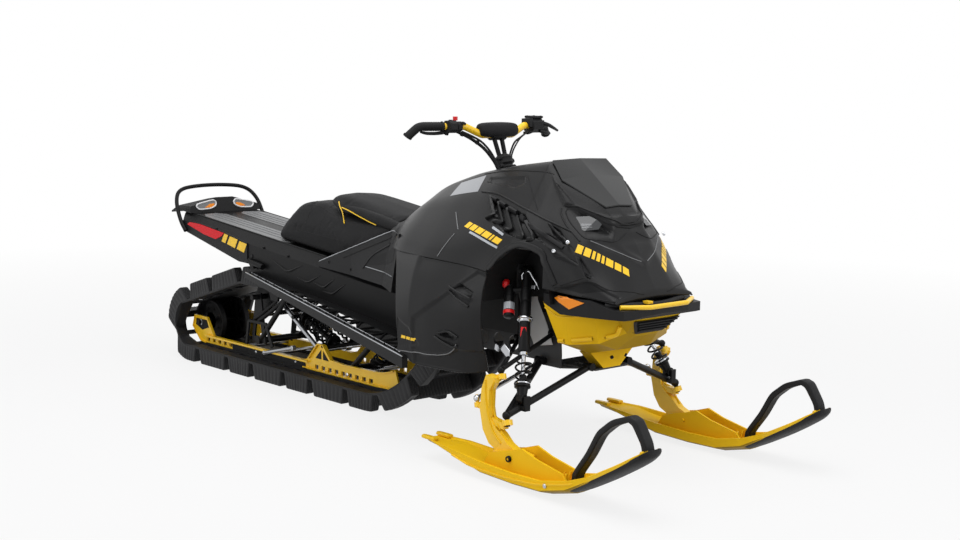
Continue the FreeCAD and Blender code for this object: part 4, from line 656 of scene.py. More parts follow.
collar.append(turned(shock_top, shock_foot, [(411, 8), (411, 24), (413, 27), (417, 27), (418, 8)]))
collar.append(bar([(774, -221, 636), (772, -222, 652), (780, -212, 666), (795, -206, 664),
                   (806, -203, 645), (822, -200, 628), (834, -199, 606)], 4.0, sides=10))
collar.append(slab([(-9, -7), (9, -7), (9, 7), (-9, 7)], (826, -208, 612), 13, (1, 0, 0), (0, 0.2, 1)))
collar.append(slab([(0, 0), (36, -22), (52, -18), (46, 2), (14, 20)], (782, -318, 400),
                   12, (1, 0, 0), (0, 0.3, 1)))
collar.append(slab([(0, 0), (16, -6), (14, 16), (2, 20)], (764, -330, 400), 10, (1, 0, 0), (0, 0.1, 1)))
collar.append(turned(tank_top + shock_way * -6, tank_top, [(0, 4), (0, 9), (7, 10), (7, 4)]))
gather("shock_bright_parts", collar, "steel", both=True)
red_at = tank_top - shock_way * 8 + np.array([-6, -8, 4])
knob_line = [(0, 3), (1, 10), (4, 14.5), (10, 16.5), (17, 16.5), (21, 14), (23, 8), (23, 3)]
red_parts = [turned(red_at + np.array([-14, -8, 3]), red_at + np.array([10, 8, -3]), knob_line, sides=18)]
red_parts.append(turned(tank_top, tank_top + shock_way, [(91, 12), (91, 20.5), (103, 20.5), (103, 12)]))
strip_at = shock_top + shock_way * 214 + np.array([11.5, -17.5, 3])
red_parts.append(slab([(-9, -8), (9, -8), (12, 12), (9, 28), (12, 46), (-8, 54), (-10, 22)],
                      strip_at, 3.0, (0.72, 0.62, 0), -np.array([-0.3, 0.3, 0.9]), ease=0.8))
gather("shock_red_parts", red_parts, "red_plastic", both=True)
label = turned(tank_top, tank_top + shock_way, [(62, 12), (62, 19.6), (88, 19.6), (88, 12)])
gather("reservoir_band", [label], "clear_lens", both=True)
wound = coil(shock_top + shock_way * 322, shock_top + shock_way * 416, 26, 3.6, 3.2)
gather("shock_coils", [wound], "black_metal", nodes=["front_springs"], both=True)

# ---- wheel arch liners ----
# Dark plastic walls behind the arches of the hood, which hide the engine bay:
# a strip that follows the opening and a back wall, fixed to the hood's rim.
arch_line = np.array([(700, 560), (716, 640), (740, 692), (768, 730), (808, 762),
                      (855, 780), (905, 770), (940, 728), (958, 650), (966, 575)], float)
arch_bow = eased(arch_line, [0.3] * len(arch_line), np.linspace(0, len(arch_line) - 1, 60))
depth = np.linspace(-300, -168, 8)
strip = np.stack([np.broadcast_to(arch_bow[:, None, 0], (60, 8)), np.broadcast_to(depth, (60, 8)),
                  np.broadcast_to(arch_bow[:, None, 1], (60, 8))], -1)
skin_y = np.interp(arch_bow[:, 0], [700, 738, 768, 808, 855, 916, 945, 986],
                   [340, 340, 333, 322, 307, 288, 281, 273])
strip[:, :, 1] = -skin_y[:, None] + (skin_y[:, None] - 168) * np.linspace(0, 1, 8)
back = slab(arch_bow[::3], (0, -172, 0), 3)
liner = [back, (strip, net((60, 8), False, False))]
gather("arch_liner", liner, "rubber", both=True)


# ---- lines and bands laid on a surface ----
# Trim, seams and piping in rubber, paint or vinyl, which follow the piece they lie on:
# chains of corners snapped to that piece, then given a round or flat section.
def face_tree(base):
    """Search tree of the faces of a piece, or of two, without their modifiers."""
    spots, rows = [], []
    for one in base if isinstance(base, tuple) else (base,):
        rows += [tuple(i + len(spots) for i in f.vertices) for f in one.data.polygons]
        spots += [tuple(v.co) for v in one.data.vertices]
    return BVHTree.FromPolygons(spots, rows)


def snapped(tree, points):
    """Nearest points on the faces of a tree, in drawing mm, and the faces' normals there."""
    near = [tree.find_nearest(Vector(point))[:2] for point in to_frame(points)]
    return to_drawing([place for place, _ in near]), np.array([way for _, way in near])


def laid(name, base, chains, wide, high, lift, slot, flat=False, body="chassis", both=True, calm=2):
    """Band along chains on a piece's surface; flat gives a nearly square section."""
    tree = face_tree(base)
    parts = []
    for corners in chains:
        chain = np.array(corners, float)
        marks_at = np.concatenate([[0], np.cumsum(np.linalg.norm(np.diff(chain, axis=0), axis=1))])
        count = max(int(marks_at[-1] / 6), 4)
        at = np.interp(np.linspace(0, marks_at[-1], count), marks_at, np.arange(len(chain)))
        middle, up = snapped(tree, eased(chain, [0.3] * len(chain), at))
        for _ in range(calm):
            up[1:-1] = unit(up[:-2] + up[1:-1] * 2 + up[2:])
            middle[1:-1] = (middle[:-2] + middle[1:-1] * 2 + middle[2:]) / 4
        side = unit(np.cross(np.gradient(middle, axis=0), up))
        angle = np.linspace(0, 2 * np.pi, 12, endpoint=False)[:, None]
        power = 0.4 if flat else 1.0
        over = np.sign(np.cos(angle)) * np.abs(np.cos(angle)) ** power * wide / 2
        rise_by = np.sign(np.sin(angle)) * np.abs(np.sin(angle)) ** power * high / 2 + lift
        ring = middle[:, None] + side[:, None] * over + up[:, None] * rise_by
        parts.append((ring, closed_rings(ring[None])))
    return gather(name, parts, slot, body=body, both=both)


def sticker(name, base, corners, slot, lift=0.7, body="chassis"):
    """Thin four-sided patches wrapped on a piece, each from its corners in order round it."""
    tree = face_tree(base)
    s, t = np.meshgrid(np.linspace(0, 1, 26), np.linspace(0, 1, 9), indexing="ij")
    parts = []
    for four in corners:
        a, b, c, d = np.array(four, float)
        flat = ((1 - s)[..., None] * ((1 - t)[..., None] * a + t[..., None] * d) +
                s[..., None] * ((1 - t)[..., None] * b + t[..., None] * c))
        on, up = snapped(tree, flat.reshape(-1, 3))
        two = np.stack([on - up * 0.4, on + up * lift]).reshape(2, 26, 9, 3)
        edge_of = np.concatenate([np.arange(8), np.arange(8, 26 * 9 - 1, 9),
                                  np.arange(26 * 9 - 1, 25 * 9, -1),
                                  np.arange(25 * 9, 0, -9)])
        faces = net((26, 9), False, False)
        rim = np.stack([edge_of, np.roll(edge_of, -1), np.roll(edge_of, -1) + 26 * 9, edge_of + 26 * 9], -1)
        parts.append((two, np.concatenate([faces[:, ::-1], faces + 26 * 9, rim]).tolist()))
    return gather(name, parts, slot, body=body, both=True, smooth=50)


# ---- hood louvres ----
# Five bent vanes of the hood's black plastic in the sunk bed, each falling from the
# crease to a foot; thin plates that stand on the bed of the hood.
vane_tops = [(600, -219, 908), (655, -235, 896), (712, -247, 881), (782, -262, 863), (832, -271, 847)]
vane_bends = [(679, -268, 853), (735, -283, 836), (795, -296, 819), (856, -300, 797), (893, -289, 790)]
vane_feet = [(650, -280, 839), (696, -287, 830), (761, -298, 815), (829, -306, 801), (871, -297, 794)]
vanes = []
for top, bend, foot in zip(vane_tops, vane_bends, vane_feet):
    middle = tuple(0.42 * a + 0.58 * b + c for a, b, c in zip(top, bend, (0, -3, 2)))
    vanes.append([top, middle, bend, foot])
laid("hood_vanes", cover, vanes, 9, 17, 5, "black_gloss", flat=True)
caps = [[(top[0] + 14, top[1] - 3, top[2] - 2), (after[0] - 10, after[1] + 2, after[2] + 3)]
        for top, after in zip(vane_tops, vane_tops[1:])]
laid("hood_vane_caps", cover, caps, 20, 10, 6, "black_plastic", flat=True)

# ---- hood creases and lips ----
# Raised crease over the louvres, the band below them, the scoop blade and the arch
# lip, all moulded into the hood; flat and round sections laid along its skin.
laid("hood_crease", cover, [[(533, -195, 923), (625, -209, 926), (804, -244, 885),
                             (894, -242, 858), (990, -206, 822)]],
     7, 7, 1.0, "black_gloss")
laid("hood_band", cover, [[(848, -274, 838), (920, -262, 806), (989, -245, 772)]],
     15, 9, 2.0, "black_plastic", flat=True)
laid("scoop_blade", cover, [[(917, -240, 843), (960, -236, 812), (998, -231, 784)]],
     8, 12, 3.0, "black_gloss", flat=True)
laid("arch_lip", cover, [[(738, -345, 676), (768, -338, 722), (808, -327, 755), (855, -312, 775),
                          (916, -293, 759),
                          (945, -286, 719), (986, -278, 646)]], 22, 11, 1.5, "black_gloss", flat=True)
laid("hood_seams", cover, [[(456, -112, 977), (640, -140, 1002), (853, -157, 1005)],
                           [(735, -166, 991), (790, -200, 946), (856, -235, 886)],
                           [(986, -279, 635), (1095, -221, 670), (1158, -186, 634), (1192, -60, 620)],
                           [(969, -266, 740), (1030, -232, 735), (1093, -219, 677)]],
     3.2, 3.2, 0.2, "rubber")
screws = []
for head, out_way in (((969, -268, 758), (0.25, -0.93, 0.25)), ((1012, -246, 790), (0.5, -0.7, 0.5))):
    away = unit(np.array(out_way))
    screws.append(turned(head - away * 5, head,
                         [(0, 3), (0, 7.5), (5, 7.5), (7, 6), (7.5, 3.4), (4.5, 3.0), (4.5, 0.5)]))
gather("hood_screws", screws, "steel", both=True)

# ---- lamp pocket and nose lines ----
# Dark outlines round the pocket, a painted shadow line below the brow, painted highlights in light
# grey on a crease and a seam, and dark patches of painted shade that make panels look sunk;
# rubber and paint laid on the skin of the nose.
laid("pocket_outline", cover, [[(942, -175, 893), (938, -186, 884), (968, -193, 850),
                                (1030, -187, 800), (1056, -141, 790),
                                (1082, -89, 784), (1074, -26, 812)]], 4.0, 3.4, 0.2, "rubber")
laid("brow_shadow", cover, [[(966, -148, 894), (1007, -117, 873), (1037, -92, 851),
                             (1058, -39, 833), (1062, 4, 828)]],
     9.0, 5.0, 0.2, "rubber", flat=True)
laid("brow_edge", cover, [[(936, -182, 902), (964, -152, 904), (1010, -118, 885),
                           (1040, -90, 863), (1060, -40, 845), (1064, 2, 840)]],
     6.0, 5.0, 1.2, "black_gloss", flat=True)
laid("pocket_lip", cover, [[(926, -192, 896), (930, -200, 880), (962, -206, 842), (1024, -200, 792)]],
     7.0, 6.0, 1.0, "black_gloss")
# Light grey for the crease and seam lines below: painted highlights along edges of the black plastic.
painted_highlight_grey = surface("painted_highlight_grey", (0.17, 0.172, 0.178), 0.45, 0.0, 500.0, 0.05, 0.10, 0.0, 0.3)
nose_crease_highlight = laid("nose_crease_highlight", cover,
                   [[(1043, -170, 791), (1079, -122, 767), (1114, -72, 741), (1132, -14, 718)]],
                   2.8, 2.6, 0.5, "black_gloss", flat=True)
seam_highlight = laid("hood_seam_highlight", cover,
                  [[(458, -253, 846), (530, -306, 793)], [(524, -312, 776), (489, -368, 698)]],
                  3.2, 2.4, 0.6, "black_gloss", flat=True)
for highlight_line in (nose_crease_highlight, seam_highlight):
    highlight_line.data.materials[0] = painted_highlight_grey
laid("nose_seams", cover, [[(1040, -226, 738), (1069, -224, 701), (1091, -214, 682),
                            (1049, -249, 663), (1004, -269, 645)],
                           [(1081, -246, 618), (1142, -220, 609), (1192, -189, 605)]],
     4.0, 3.0, 0.2, "rubber")
# Dark patches of painted shade that make two panels of the nose look sunk.
sticker("nose_panel_shade", cover, [[(1001, -271, 636), (1097, -223, 664), (1158, -181, 637), (1080, -244, 625)],
                               [(908, -273, 800), (965, -252, 779), (1050, -236, 711), (980, -270, 734)]],
        "black_metal")
laid("inset_edges", cover, [[(917, -241, 839), (960, -236, 812), (1002, -229, 779)]],
     3.0, 3.0, 0.4, "rubber")

# ---- plain stripes ----
# Bare slanted blocks of colour on the nose and the flank of the hood, without
# lettering; thin films laid on the skin.
def blocks(four, cuts, slant):
    """Four-sided patches cut from a long one at shares of its length, leaning by slant."""
    a, b, c, d = np.array(four, float)
    return [[a + (b - a) * (s0 + slant), a + (b - a) * (s1 + slant), d + (c - d) * s1, d + (c - d) * s0]
            for s0, s1 in cuts]


sticker("nose_stripes", cover, blocks([(1022, -214, 786), (1150, -84, 703), (1160, -88, 674),
                                       (1028, -226, 757)],
                                      [(0.0, 0.11), (0.14, 0.25), (0.28, 0.33), (0.36, 0.42),
                                       (0.45, 0.50), (0.53, 0.66),
                                       (0.69, 0.81), (0.84, 0.96)], 0.03), "yellow_metal")
sticker("flank_stripes", cover, blocks([(562, -283, 823), (776, -322, 781), (768, -330, 762),
                                        (554, -296, 804)],
                                       [(0.0, 0.12), (0.15, 0.29), (0.32, 0.49),
                                        (0.52, 0.69), (0.72, 0.77), (0.80, 0.96)], 0.03),
        "yellow_metal")
sticker("flank_light_stripes", cover,
        [[(600, -305, 790), (762, -333, 757), (760, -335, 750), (598, -309, 783)]], "clear_lens")
sticker("louvre_light_stripes", cover,
        [[(702, -294, 818), (770, -309, 800), (768, -312, 792), (700, -298, 810)]], "clear_lens")
sticker("console_panels", cover, [[(349, -187, 894), (505, -196, 926), (478, -123, 974), (335, -120, 940)]],
        "aluminium")

# ---- seat ----
# Two stuffed cushions: crowned blanks from eased half sections, blown up a little as
# cloth, then piped. They stay inside the room of their CAD solids.
def sections(rows):
    """Closed rings from rows of x and half-section corners (y, z), from the bottom middle to the top."""
    corners = np.array([[(x, y, z) for y, z in half] for x, half in rows], float)
    count = len(rows)
    long = eased(corners, [0.4] * count, np.linspace(0, count - 1, 90))
    at = np.linspace(0, corners.shape[1] - 1, 60)
    half = np.swapaxes(eased(np.swapaxes(long, 0, 1), [0.3] * corners.shape[1], at), 0, 1)
    return np.concatenate([half * np.array([1, -1, 1]), half[:, -2:0:-1]], 1)


def stuffed(name, slot, loop, voxel, cap):
    """Cushion from closed rings in mm, blown up a little as cloth, no point farther than cap."""
    loop = to_frame(loop)
    made = piece(name, loop, closed_rings(loop[None]), slot, 60)
    blank = made.modifiers.new("blank", "REMESH")
    blank.mode = "VOXEL"
    blank.voxel_size = voxel
    flat = bpy.data.meshes.new_from_object(made.evaluated_get(bpy.context.evaluated_depsgraph_get()))
    made.modifiers.clear()
    made.data = flat
    rest = np.empty(len(flat.vertices) * 3)
    flat.vertices.foreach_get("co", rest)
    blown = made.modifiers.new("blown", "CLOTH")
    blown.settings.use_pressure = True
    blown.settings.uniform_pressure_force = 4.0
    blown.settings.effector_weights.gravity = 0.0
    for frame_now in range(1, 21):
        scene.frame_set(frame_now)
    swollen = bpy.data.meshes.new_from_object(made.evaluated_get(bpy.context.evaluated_depsgraph_get()))
    scene.frame_set(1)
    made.modifiers.clear()
    moved = np.empty(len(rest))
    swollen.vertices.foreach_get("co", moved)
    shift = (moved - rest).reshape(-1, 3)
    far = np.linalg.norm(shift, axis=1, keepdims=True)
    shift *= np.minimum(1, cap / np.maximum(far, 1e-9))
    flat.vertices.foreach_set("co", (rest.reshape(-1, 3) + shift).ravel())
    flat.materials.clear()
    flat.materials.append(finishes[slot])
    flat.shade_smooth()
    return made


def ground(x):
    """Height of the tunnel's top under the seat, mm."""
    return 692 - 0.09585 * (x + 1500) + 2


# Columns: x, height of the bottom middle, then (y, z) of the bottom edge above it and the upper corners, mm.
cushion_rows = [(x, [(0, low), (edge[0], low + edge[1])] + upper) for x, low, edge, upper in (
    (-812, ground(-812) + 10, (120, 2), [(134, 652), (120, 660), (0, 662)]),
    (-790, ground(-790), (150, 2), [(158, 650), (132, 694), (0, 700)]),
    (-700, ground(-700), (164, 2), [(168, 670), (118, 774), (0, 782)]),
    (-640, ground(-640), (168, 2), [(172, 676), (112, 790), (0, 794)]),
    (-560, ground(-560), (170, 2), [(175, 676), (112, 792), (0, 796)]),
    (-500, ground(-500), (172, 2), [(176, 672), (122, 776), (0, 782)]),
    (-380, ground(-380), (174, 2), [(178, 664), (146, 756), (0, 758)]),
    (-200, ground(-200), (174, 2), [(178, 668), (156, 750), (0, 752)]),
    (-60, 700, (172, 0), [(176, 728), (162, 752), (0, 752)]),
    (-6, 722, (160, 0), [(166, 738), (154, 752), (0, 752)]))]
saddle_rows = [
    (-494, [(0, 800), (84, 802), (96, 810), (84, 816), (0, 818)]),
    (-486, [(0, 796), (100, 798), (108, 812), (90, 828), (0, 832)]),
    (-440, [(0, 788), (122, 790), (128, 806), (94, 834), (0, 840)]),
    (-380, [(0, 768), (140, 770), (144, 796), (102, 832), (0, 838)]),
    (-200, [(0, 760), (152, 762), (156, 782), (102, 808), (0, 814)]),
    (-60, [(0, 757), (150, 759), (156, 772), (98, 786), (0, 790)]),
    (-4, [(0, 756), (140, 758), (146, 766), (92, 778), (0, 780)]),
]
cushion = stuffed("seat_lower_cushion", "seat_vinyl", sections(cushion_rows), 0.006, 0.006)
saddle = stuffed("seat_upper_saddle", "seat_vinyl", sections(saddle_rows), 0.005, 0.005)
for pad, node, fill in ((cushion, "seat_cushion", 0.9), (saddle, "seat_saddle", 0.9)):
    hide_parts(node)
    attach(pad, "chassis")

# ---- side panels ----
# Large flat-sided skins with a diagonal fold, two hooded vents and a lip along the bottom.
# Rows run from the rear edge to the wheel arch; corners from the top edge down, mm.
side_rows = [
    [(179, 300, 714), (205, 322, 686), (262, 368, 640), (318, 416, 540), (352, 441, 450), (360, 438, 346)],
    [(386, 350, 706), (386, 366, 690), (400, 404, 630), (410, 428, 560), (418, 441, 470), (424, 432, 310)],
    [(413, 368, 687), (415, 369, 679), (425, 404, 630), (432, 428, 560), (438, 441, 470), (444, 434, 308)],
    [(520, 374, 685), (520, 376, 677), (520, 405, 625), (520, 430, 555), (520, 441, 470), (520, 424, 305)],
    [(640, 372, 681), (640, 374, 673), (640, 401, 612), (640, 420, 540), (640, 424, 450), (640, 399, 302)],
    [(690, 366, 674), (692, 368, 664), (696, 392, 604), (698, 400, 530), (698, 402, 450), (700, 366, 304)],
    [(735, 357, 665), (735, 360, 655), (735, 377, 602), (735, 386, 530), (735, 378, 450), (735, 339, 313)],
]
net_side = np.array(side_rows, float) * np.array([1, -1, 1])
rows_at = np.interp(np.linspace(0, 1, 130), [0, 0.30, 0.34, 0.52, 0.80, 0.91, 1], np.arange(7))
cols_at = np.interp(np.linspace(0, 1, 110), [0, 0.08, 0.26, 0.48, 0.72, 1], np.arange(6))
side_skin = eased(net_side, [0.3, 0.1, 0.1, 0.4, 0.4, 0.3, 0.3], rows_at)
side_skin = np.swapaxes(eased(np.swapaxes(side_skin, 0, 1), [0.3, 0.2, 0.4, 0.4, 0.4, 0.3], cols_at), 0, 1)
along_x, down_z = np.gradient(side_skin, axis=0), np.gradient(side_skin, axis=1)
out = np.cross(down_z, along_x)
out /= np.linalg.norm(out, axis=-1, keepdims=True)
out *= np.where(out[..., 1:2] > 0, -1, 1)
x, y, z = np.moveaxis(side_skin, -1, 0)
fold = inside([(700, 676), (552, 561), (430, 480), (430, 300), (760, 290), (760, 660)], x, z)
sink = -7 * step_up(fold, 18)
upper_vent = inside([(612, 598), (644, 622), (700, 598), (697, 556), (670, 556)], x, z)
upper_floor = inside([(612, 598), (670, 556), (697, 556), (700, 500), (560, 500)], x, z)
sink -= 16 * step_up(upper_vent, 5) * step_up(-upper_floor, 40)
lower_vent = inside([(548, 432), (604, 450), (650, 434), (634, 392)], x, z)
lower_floor = inside([(548, 432), (634, 392), (650, 434), (760, 434), (760, 300), (540, 300)], x, z)
sink -= 15 * step_up(lower_vent, 5) * step_up(-lower_floor, 34)
for vane in ([(630, -400, 590), (690, -394, 572)], [(580, -430, 425), (640, -414, 412)]):
    sink += 9 * np.exp(-(line_gap(side_skin, vane) / 7) ** 2)
lip = [(360, -438, 352), (470, -436, 352), (550, -426, 356), (603, -414, 366), (634, -412, 386),
       (648, -412, 412)]
sink += 4 * np.exp(-(line_gap(side_skin, lip) / 6) ** 2)
under_lip = inside([(350, 352), (550, 354), (603, 364), (640, 388), (760, 388), (760, 280), (350, 280)],
                   x, z)
sink -= 7 * step_up(under_lip, 6)
toe = inside([(352, 470), (420, 440), (470, 380), (350, 360)], x, z)
sink -= 3 * step_up(toe, 5)
side_skin = to_frame(side_skin + out * sink[..., None])
side_net = net(side_skin.shape[:2], False, False)
for side, sign in (("right", 1), ("left", -1)):
    panel = piece("side_skin_" + side, side_skin * np.array([1, sign, 1]), side_net[:, ::-sign],
                  "black_gloss", 35)
    walled(panel)
    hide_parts("side_panel_" + side)
    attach(panel, "chassis")

# ---- seat piping ----
# Yellow vinyl piping down the rear corner of the saddle and slanting forward along its
# side, between black rolls; laid on the cushions and sewn down along them.
rolls = gather("saddle_rolls", [bar([(-372, -126, 796), (-250, -132, 782), (-114, -144, 762),
                                     (40, -152, 738)], (9, 20, 25, 22))],
               "seat_vinyl", both=True)
laid("seat_piping", (saddle, cushion, rolls),
     [[(-410, -124, 814), (-379, -145, 791), (-360, -152, 764), (-336, -161, 736)],
      [(-369, -146, 796), (-288, -149, 778), (-196, -160, 758), (-114, -169, 742)]],
     4.5, 4.5, 1.6, "yellow_metal", calm=14)
laid("seat_seams", cushion, [[(-700, -118, 772), (-560, -114, 792), (-470, -128, 776),
                              (-380, -148, 756), (-200, -158, 750), (-60, -164, 750)],
                             [(-740, -100, 752), (-700, -160, 690), (-560, -174, 676), (-300, -178, 664)],
                             [(-640, -60, 792), (-600, -112, 788), (-585, -172, 690)],
                             [(-520, -60, 790), (-500, -122, 776), (-480, -174, 680)]],
     3.4, 3.4, -0.6, "rubber")


# ---- deck of the tunnel ----
# Pale bands on both sides of a dark middle strip, with a bead along the folded edge,
# all pressed in the tunnel's sheet; thin ribs that lie on its flat top.
def deck(x):
    """Height of the tunnel's flat top, mm."""
    return 692 - 0.09585 * (x + 1500)


down_deck = (1, 0, -0.09585)
band_line = [(0, 0), (36, 34), (640, 34), (700, 6), (700, -78), (660, -92), (60, -92), (14, -70)]
bands = [slab(band_line, (-1408, -74, deck(-1408) + 0.2), 1.4, down_deck, (0, 1, 0), ease=0.6)]
edge_bead = bar([(-1404, -173, deck(-1404) + 0.5), (-900, -173, deck(-900) + 0.5),
                 (-420, -173, deck(-420) + 0.5)], 2.6)
deck_paint = surface("deck_paint", (0.150, 0.153, 0.158), 0.42, 0.1, 500.0, 0.12, 0.16)
painted = gather("deck_bands", bands, "aluminium", both=True)
painted.data.materials[0] = deck_paint
gather("deck_edge_beads", [edge_bead], "black_gloss", both=True)
ribs_at = [slab([(0, 0), (0, 6), (596, 6), (600, 0)], (-1360, y, deck(-1360) + 1.4),
                2.0, down_deck, (0, 1, 0), ease=0.8)
           for y in (-128, -98, -68)]
ribs_made = gather("deck_ribs", ribs_at, "aluminium", both=True)
ribs_made.data.materials[0] = deck_paint

# ---- pressed folds, stripes and fasteners on the tunnel sides ----
# Four V folds pressed in the sheet that step down and forward, slanted stripes of film,
# and the small fasteners that hold the boards and arms.
folds = [bar([(a, -214, b), (c, -215.5, d), (e, -214, f)], (1.5, 4.2, 1.5), share=0.2)
         for a, b, c, d, e, f in ((-755, 546, -639, 505, -539, 543), (-574, 491, -497, 476, -414, 515),
                                  (-462, 483, -387, 468, -320, 509), (-393, 453, -326, 449, -247, 497))]
gather("pressed_folds", folds, "black_gloss", both=True)
stripes = [slab([(0, 0), (22, 36), (22 + wide, 36 - wide * 0.14), (wide, -wide * 0.2)], (x, -219.2, z),
                1.2, ease=0.4) for x, z, wide in ((-1136, 588, 30), (-1092, 580, 62), (-1016, 566, 56))]
gather("tail_stripes", stripes, "yellow_metal", both=True)
fasteners = [turned((x, y + 5, z), (x, y, z),
                    [(0, 2), (0, r), (5, r), (7.4, r * 0.8), (8, r * 0.45), (6, r * 0.4), (6, 0.5)])
             for x, y, z, r in ((-356, -211, 577, 9), (-204, -216, 563, 9), (-868, -214, 500, 10),
                                (-1180, -218, 640, 6), (-820, -214, 590, 6), (-640, -214, 572, 6))]
fasteners.append(turned((-905, -209, 545), (-905, -215, 545), [(0, 2), (0, 8), (7, 8), (8, 6), (8, 0.5)]))
gather("tunnel_fasteners", fasteners, "black_metal", both=True)
hinge = [bar([(-918, -222, 528), (-872, -222, 502)], 9.5), bar([(-905, -214, 521), (-905, -224, 521)], 7.0)]
gather("tunnel_hinges", hinge, "black_metal", both=True)

# ---- knee panels ----
# Bright edges above and below, a dark channel and a thin slot along each moulded
# panel; laid on the panels between seat and side skin.
knees = frame["nodes"]["knee_panels"]
laid("knee_edges", knees, [[(-438, -208, 568), (-207, -213, 651), (48, -216, 741), (90, -234, 744)],
                           [(-92, -231, 588), (48, -262, 585), (170, -306, 583)]],
     3.4, 4.0, 1.2, "aluminium")
sticker("knee_channels", knees, [[(-100, -229, 592), (150, -300, 640), (150, -270, 700), (-56, -222, 628)]],
        "rubber")
laid("knee_slots", knees, [[(-262, -214, 605), (-100, -216, 662), (70, -225, 722)]],
     5.0, 3.0, 0.4, "rubber", flat=True)
laid("knee_ridges", knees, [[(-112, -228, 580), (-62, -223, 634), (60, -236, 694)]],
     6.0, 6.0, 0.6, "black_gloss")


# ---- tail lamps ----
# White plastic rims round both lamps with an amber wedge in each; thin frames on the
# leaning front face of the lamp panel.
def on_panel(outline):
    """Points on the leaning front face of the lamp panel, from pairs of y and z."""
    across_up = np.array(outline, float)
    return np.stack([-1439 - 15 * (across_up[:, 1] - 690) / 63, across_up[:, 0], across_up[:, 1]], 1)


rim_line = [(-156, 715), (-148, 726), (-61, 742), (-48, 731), (-51, 716), (-80, 703),
            (-142, 700), (-156, 715), (-148, 726)]
rims = gather("tail_lamp_rims", [bar(on_panel(rim_line), 3.6, sides=10, share=0.3)],
              "clear_lens", both=True)
rims.data.materials[0] = surface("lamp_rim_white", (0.72, 0.72, 0.73), 0.30, 0.0, 300.0, 0.05, 0.05)
wedge = [(-112, 18), (-84, 34), (-58, 36), (-60, 26), (-82, 17)]
gather("tail_lamp_wedges", [slab(wedge, (-1440.5, 0, 690), 3.4, (0, 1, 0), (-0.234, 0, 1), ease=0.8)],
       "orange_lens", both=True)

# ---- side panel trim ----
# Dark patches of painted shade in the vent mouths, raised lips of the vents, a painted highlight
# along the bottom lip and a small bare mark; moulded or painted details laid on the side skins.
side_skin_piece = bpy.data.objects["side_skin_right"]
laid("vent_lips", side_skin_piece, [[(598, -408, 606), (637, -407, 593), (694, -393, 573)],
                                    [(564, -431, 439), (612, -425, 452), (652, -414, 433)],
                                    [(548, -432, 424), (585, -426, 408), (628, -417, 394),
                                     (650, -411, 400)],
                                    [(598, -410, 592), (640, -405, 566), (688, -396, 545)]],
     8, 8, 3.0, "black_gloss")
# Painted shade: dark patches in the mouths of the sunk vents.
sticker("vent_mouth_shade", side_skin_piece,
        [[(612, -410, 588), (694, -393, 564), (686, -397, 546), (640, -404, 566)],
         [(566, -430, 434), (648, -415, 428), (643, -413, 404), (580, -426, 413)]], "rubber")
# A raised bead along the bottom lip, coloured light grey as a painted highlight.
panel_lip_highlight = laid("panel_lip_highlight", side_skin_piece,
                  [[(362, -438, 352), (470, -436, 352), (550, -426, 356), (603, -414, 366),
                    (634, -412, 386), (646, -412, 410)]], 3.4, 3.4, 1.5, "black_gloss")
panel_lip_highlight.data.materials[0] = painted_highlight_grey
sticker("panel_marks", side_skin_piece,
        blocks([(376, -437, 407), (450, -436, 402), (450, -436, 392), (376, -437, 396)],
               [(0.0, 0.3), (0.36, 0.62), (0.68, 0.95)], 0.03), "yellow_metal")

# ---- skis ----
# Rounded rubber loops, plump dark tips with a yellow deck over them, ribs in the
# channel and steel bolts; each piece turns and pitches with its ski.
ski_mid = -445.0
loop_out = np.array([(1262, 60), (1266, 92), (1322, 168), (1366, 246), (1424, 292),
                     (1500, 319), (1530, 309), (1570, 246), (1582, 200)])
loop_in = np.array([(1288, 60), (1291, 86), (1343, 155), (1384, 228), (1434, 269),
                    (1495, 295), (1512, 287), (1548, 236), (1558, 190)])
loop_at = np.linspace(0, 8, 90)
loop_a = eased(loop_out.astype(float), [0.24] * 9, loop_at)
loop_b = eased(loop_in.astype(float), [0.24] * 9, loop_at)
turn_by = np.linspace(0, 2 * np.pi, 20, endpoint=False)
reach_in = np.sign(np.sin(turn_by)) * np.abs(np.sin(turn_by)) ** 0.45
reach_side = np.sign(np.cos(turn_by)) * np.abs(np.cos(turn_by)) ** 0.45 * 21
dish = np.where(reach_in < 0, 3.5 * (1 - np.abs(reach_side / 21) ** 3), 0)
middle = (loop_a + loop_b) / 2
half_way = (loop_a - loop_b) / 2
dished = dish / np.linalg.norm(half_way, axis=1, keepdims=True)
flat_at = middle[:, None] + half_way[:, None] * (reach_in[None, :, None] + dished[:, :, None])
loop_ring = np.stack([flat_at[..., 0], ski_mid + np.broadcast_to(reach_side, flat_at.shape[:2]),
                      flat_at[..., 1]], -1)
# Columns: x ahead of the bolt, keel, half width, top.
tip_rows = np.array([(300, 34, 66, 60), (345, 54, 70, 88), (440, 104, 72, 138), (500, 139, 70, 170),
                     (552, 172, 62, 202),
                     (578, 192, 48, 220), (590, 203, 32, 229), (593, 210, 16, 231)], float)
tip_x, keel, half, top = eased(tip_rows, [0.45] * 8, np.linspace(0, 7, 44)).T[..., None]
around = np.array([(-0.16, 0.0), (-0.62, 0.16), (-0.90, 0.42), (-1.0, 0.70), (-0.97, 0.92),
                   (-0.86, 1.0), (-0.74, 0.94),
                   (0.74, 0.94), (0.86, 1.0), (0.97, 0.92), (1.0, 0.70), (0.90, 0.42),
                   (0.62, 0.16), (0.16, 0.0)]).T
tip_ring = np.stack([np.broadcast_to(1000 + tip_x, (44, 14)), ski_mid + half * around[0],
                     keel + (top - keel) * around[1]], -1)
for side, sign in (("right", 1), ("left", -1)):
    flip = np.array([1, sign, 1])
    gather("ski_bow_" + side, [(loop_ring * flip, closed_rings(loop_ring[None])),
                               (tip_ring * flip, closed_rings(tip_ring[None]))],
           "black_plastic", body="ski_" + side, nodes=["ski_loop_" + side])
